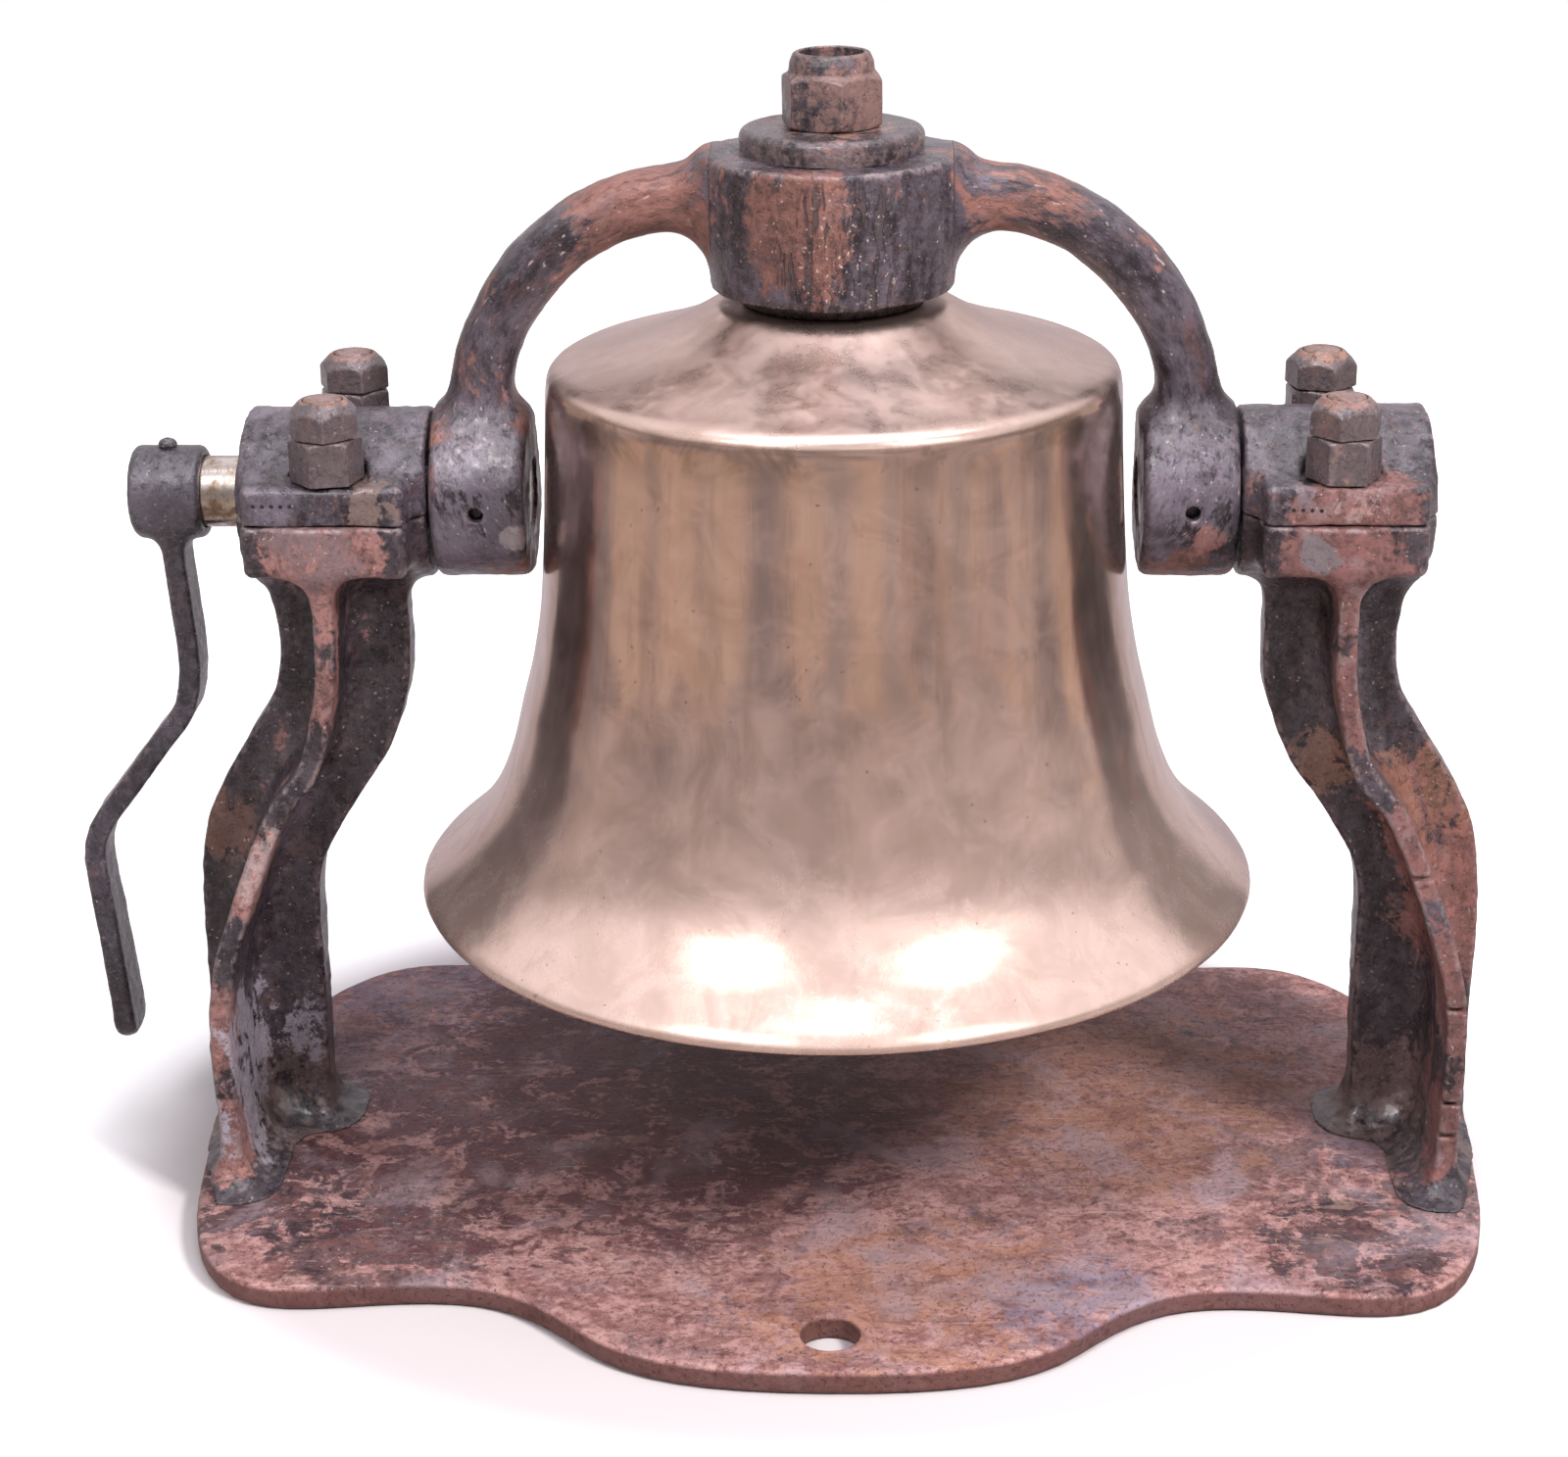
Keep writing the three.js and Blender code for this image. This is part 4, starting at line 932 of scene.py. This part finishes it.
cast("clapper_forging", clapper_field, (-32, -32, 104), (32, 32, 421.5), 1.1, 19,
     [(14, 0.2)], CLAPPER, IRON_IN_PAINTED_SHADE, "cast_iron", ["clapper"])


def lathe(name, profile, segments, material, slot, node, place=None, body=YOKE, wobble=None):
    """A turned piece. place takes its vertices from the Z axis to where it sits."""
    verts, faces = turned(profile, segments, wobble)
    if place:
        verts = place(verts)
    piece(name, verts, faces, body, material, slot, [node], CREASE)


# How far each nut stands turned: (side, end, lower nut, lock nut) in degrees
NUT_TURNS = [("left", "front", -17, 8), ("left", "back", 20, 22),
             ("right", "front", 30, -14), ("right", "back", 4, 15)]
NUT_GAP = 0.4
for side, end, low_turn, lock_turn in NUT_TURNS:
    at = (STUD_X if side == "right" else -STUD_X, -STUD_Y if end == "front" else STUD_Y, 0)
    seed = 30 + 3 * len(side) + 7 * len(end)
    for name, node, base, gap, top, spin, crown, slope in (
            ("lower_nut", "cap_nut", NUT_SEAT, 0, NUT_TOP, low_turn, 15.3, 0.55),
            ("crown_nut", "lock_nut", NUT_TOP, NUT_GAP, LOCK_TOP, lock_turn, 11.2, 1.0)):
        nut = nut_field(CAP_NUT_FLATS, STUD_BORE, base + gap, top, spin, crown, slope)
        cast(f"{name}_{end}_{side}", nut, (-19, -19, base), (19, 19, top), 0.6, seed,
             [(7, 0.14)], CRADLE, IRON_NUT, "rusty_iron", [f"{node}_{end}_{side}"], move=at)
        seed += 1
    lathe(f"stud_{end}_{side}", rounded_rod(9.5, 340, LOCK_TOP + 0.6, 1.6), 40, IRON_NUT,
          "cast_iron", f"cap_stud_{end}_{side}", lambda v: v + at, CRADLE)

# Bell
BELL_NOISE = Noise(21)


def hammered(verts, faces):
    """The slight waves of a turned casting, which make its reflections swim."""
    return roughen(verts, faces, BELL_NOISE, [(46, 0.24), (19, 0.07)],
                   lambda v: (np.clip((np.hypot(v[:, 0], v[:, 1]) - 20) / 20, 0, 1)
                              * (1 - 0.6 * np.clip((v[:, 2] - 420) / 10, 0, 1))))


outer = resample(spline(BELL_OUTER, 260), 2.6)
inner = resample(spline(BELL_INNER, 160), 5)
bell_profile = np.concatenate([outer, BELL_LIP, inner, [(14.6, 461)]])
lathe("bell_turned", bell_profile, 288, BRONZE, "bell_bronze", "bell",
      wobble=hammered)

# Turned pieces of the hanger and the trunnions
washer = ([(14.6, 534), (44, 534)] + [(40.6 + 4.4 * math.cos(a), 541.4 + 4.6 * math.sin(a))
          for a in np.linspace(-0.1, math.pi / 2, 9)] + [(30, 546.2), (14.6, 546)])
lathe("washer_turned", washer, 120, IRON_TOP, "rusty_iron", "top_washer",
      wobble=lambda v, f: roughen(v, f, Noise(22), [(12, 0.18), (4, 0.08)]))
# The spacer takes the near-black iron: painted shade in the gap under the hub
lathe("spacer_turned", [(14.6, 461.3), (44.4, 461.3), (45, 462), (45, 467.6), (44.4, 468.1),
                        (14.6, 468.1)], 90, IRON_IN_PAINTED_SHADE, "cast_iron", "crown_spacer")
lathe("shaft_turned_left", rounded_rod(SHAFT_R, -352, -153, 1.4), 96, STEEL, "shaft_steel",
      "trunnion_shaft_left", to_x)
lathe("pin_turned_right", rounded_rod(SHAFT_R, 153, 292, 1.4), 96, STEEL, "shaft_steel",
      "trunnion_pin_right", to_x)
set_pin = [(0.6, 371.5), (4, 371.5), (4, 387.5)] + [
    (0.6 + 4.2 * math.cos(a), 388 + 3.4 * math.sin(a)) for a in np.linspace(0, math.pi / 2 - 0.1, 7)]
lathe("set_pin_turned", set_pin, 32, IRON_LEVER, "cast_iron", "crank_set_pin",
      lambda v: v + (CRANK_X, 0, 0))
for side, word in ((-1, "left"), (1, "right")):
    lathe(f"cross_pin_turned_{word}", rounded_rod(3.6, -35, 35, 0.8, 0.3), 28, IRON_IN_PAINTED_SHADE,
          "cast_iron", f"cross_pin_{word}",
          lambda v: np.column_stack([v[:, 0] + side * EAR_PIN_X, v[:, 2], AXIS_Z - v[:, 1]]))

# The hidden CAD nodes stay, with softened edges and their own looks
KEPT = {"inner_washer": IRON_IN_PAINTED_SHADE, "hanger_bolt": IRON_IN_PAINTED_SHADE, "clapper_pin": STEEL,
        "clapper_cotter": STEEL, "lower_brass_left": BRASS, "lower_brass_right": BRASS,
        "upper_brass_left": BRASS, "upper_brass_right": BRASS}
for name, material in KEPT.items():
    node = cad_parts[name]
    node.data.materials.clear()
    node.data.materials.append(material)
    soften = node.modifiers.new("softened_edges", "BEVEL")
    soften.width = 0.0006
    soften.segments = 2
    soften.limit_method = "ANGLE"
    soften.angle_limit = math.radians(40)

# ---- Studio ----
floor_mesh = bpy.data.meshes.new("floor")
floor_bm = bmesh.new()
bmesh.ops.create_grid(floor_bm, x_segments=8, y_segments=8, size=2.2)
floor_bm.to_mesh(floor_mesh)
floor_bm.free()


def pale_floor():
    """A white floor with a painted soft shadow close round the base plate; it glows further out.

    Seen from the plate's middle, with y stretched, the plate reaches about 0.33 m all round.
    """
    k = Look("pale_floor")
    x = k.math("ADD", k.axis("X"), 0.012)
    y = k.times(k.math("ADD", k.axis("Y"), 0.012), 1.2)
    clear = k.step(k.math("SQRT", k.add(k.times(x, x), k.times(y, y))), 0.325, 0.415)
    tone = k.mix(k.noise(400, 3), (0.90, 0.89, 0.90), (0.94, 0.93, 0.935))
    # painted shadow: the floor's colour darkens in a ring close round the plate, and the glow is held
    # back there too
    tone = k.mix(clear, (0.56, 0.515, 0.52), tone)
    far_off = k.step(k.blob((0, 0, 0), 1900), 0.80, 0.15, 0, 0.42)
    glow = k.add(k.times(clear, 0.45), far_off)
    return k.finish(Base_Color=tone, Roughness=0.85, Emission_Color=tone, Emission_Strength=glow)


floor_mesh.materials.append(pale_floor())
floor = bpy.data.objects.new("floor", floor_mesh)
floor.location.z = -0.0004
bpy.context.scene.collection.objects.link(floor)
floor.visible_glossy = False

world = bpy.data.worlds.new("studio")
bpy.context.scene.world = world
world.use_nodes = True
sky = Nodes(world.node_tree, "Generated")

# What the polished bell mirrors: round from the front (0 to pi each way) and up from the level
turned_by = sky.math("ARCTAN2", sky.axis("X"), sky.times(sky.axis("Y"), -1.0))
aside = sky.math("ABSOLUTE", turned_by)
rise = sky.math("ARCSINE", sky.axis("Z"))
room = sky.noise(1000 / 1.7, 4, 0.5, place=sky.shifted(stretch=(1.6, 1.6, 5)))
mirrored = sky.mix(sky.step(room, 0.40, 0.62), (0.27, 0.225, 0.22), (0.56, 0.47, 0.44))
# Posts below the level, with scalloped sides
scallop = sky.math("ABSOLUTE", sky.math("SINE", sky.times(rise, 150.0)))
waved = sky.add(turned_by, sky.times(scallop, 0.045))
posts = sky.noise(1000 / 3.1, 2, 0.5, place=sky.vector(waved, sky.times(rise, 0.9), 0.0))
fence = sky.mix(sky.step(posts, 0.44, 0.50), (0.25, 0.22, 0.225), (0.66, 0.49, 0.375))
fence = sky.mix(sky.step(posts, 0.56, 0.61), fence, (0.40, 0.35, 0.34))
mirrored = sky.mix(sky.times(sky.step(rise, -0.02, -0.14), 0.85), mirrored, fence)
# Softer tones at the sides, a light wall behind and a pale ceiling
flank = sky.times(sky.step(aside, 1.80, 2.10), sky.step(aside, 2.55, 2.30))
mirrored = sky.mix(sky.times(flank, sky.step(rise, 0.45, 0.10)), mirrored, (0.60, 0.49, 0.45))
mirrored = sky.mix(sky.step(aside, 2.30, 2.62), mirrored, (0.64, 0.58, 0.62))
mirrored = sky.mix(sky.step(rise, 0.22, 0.62), mirrored, (1.12, 1.06, 1.07))
mirrored = sky.mix(sky.step(rise, 1.05, 1.30), mirrored, (0.72, 0.68, 0.70))


def soft_window(across, height, wide, tall, blur=0.05):
    """1 inside a soft-edged rectangle of sky, 0 outside."""
    du = sky.math("ABSOLUTE", sky.math("SUBTRACT", turned_by, across))
    dv = sky.math("ABSOLUTE", sky.math("SUBTRACT", rise, height))
    return sky.times(sky.step(du, wide + blur, wide - blur), sky.step(dv, tall + blur, tall - blur))


mirrored = sky.mix(soft_window(0.62, 0.52, 0.55, 0.055), mirrored, (1.5, 1.42, 1.40))
mirrored = sky.mix(soft_window(-0.63, 0.84, 0.26, 0.17), mirrored, (5.0, 4.9, 4.9))
mirrored = sky.mix(soft_window(0.75, 0.82, 0.22, 0.18), mirrored, (5.0, 4.9, 4.9))


def background(tone, strength=1.0):
    node = sky.new("ShaderNodeBackground")
    sky.put(node.inputs[0], tone)
    node.inputs[1].default_value = strength
    return node.outputs[0]


def either(amount, off, on):
    node = sky.new("ShaderNodeMixShader")
    for socket, value in zip(node.inputs, (amount, off, on)):
        sky.link(value, socket)
    return node.outputs[0]


rays = sky.new("ShaderNodeLightPath").outputs
unseen = either(rays["Is Glossy Ray"], background((0.90, 0.87, 1.0), 0.24), background(mirrored))
shown = either(rays["Is Camera Ray"], unseen, background((1.0, 1.0, 1.0), 1.02))
sky.link(shown, sky.new("ShaderNodeOutputWorld").inputs[0])


def softbox(name, place, target, width, height, power, in_gloss=False, tone=(1, 0.985, 0.98)):
    lamp = bpy.data.lights.new(name, "AREA")
    lamp.shape = "RECTANGLE"
    lamp.size, lamp.size_y = width, height
    lamp.energy = power
    lamp.color = tone
    obj = bpy.data.objects.new(name, lamp)
    obj.location = place
    obj.rotation_euler = (Vector(target) - Vector(place)).to_track_quat("-Z", "Y").to_euler()
    obj.visible_glossy = in_gloss
    bpy.context.scene.collection.objects.link(obj)
    return obj


softbox("key_right", (1.35, -1.15, 1.75), (0, 0, 0.2), 0.5, 0.5, 76)
softbox("fill_left", (-1.0, -1.4, 1.7), (0, 0, 0.2), 0.6, 0.6, 20)
glint = softbox("glint", (-0.35, -1.2, 1.9), (0, 0, 0.3), 0.34, 0.34, 14, True)
glint.light_linking.receiver_collection = IRONWORK
softbox("overhead", (0.1, -0.1, 2.4), (0, 0, 0.2), 1.6, 1.2, 30, True, (0.97, 0.94, 1.0))

# ---- Camera, solved from the object's known proportions ----
PITCH, YAW, ROLL = 0.37189, -0.0363, -0.01222
CAMERA_PLACE = (0.02713, -1.47905, 0.81217)
FOCAL, SENSOR = 70.44, 36.0
forward = Vector((math.sin(YAW) * math.cos(PITCH), math.cos(YAW) * math.cos(PITCH), -math.sin(PITCH)))
right = Vector((math.cos(YAW), -math.sin(YAW), 0))
up = right.cross(forward)
tilted_right = math.cos(ROLL) * right + math.sin(ROLL) * up
tilted_up = -math.sin(ROLL) * right + math.cos(ROLL) * up
camera_data = bpy.data.cameras.new("camera")
camera_data.lens = FOCAL
camera_data.sensor_width = SENSOR
camera_data.sensor_fit = "HORIZONTAL"
camera = bpy.data.objects.new("camera", camera_data)
bpy.context.scene.collection.objects.link(camera)
turn = Matrix((tilted_right, tilted_up, -forward)).transposed().to_4x4()
camera.matrix_world = Matrix.Translation(CAMERA_PLACE) @ turn
bpy.context.scene.camera = camera
bpy.context.scene.view_settings.view_transform = "Standard"
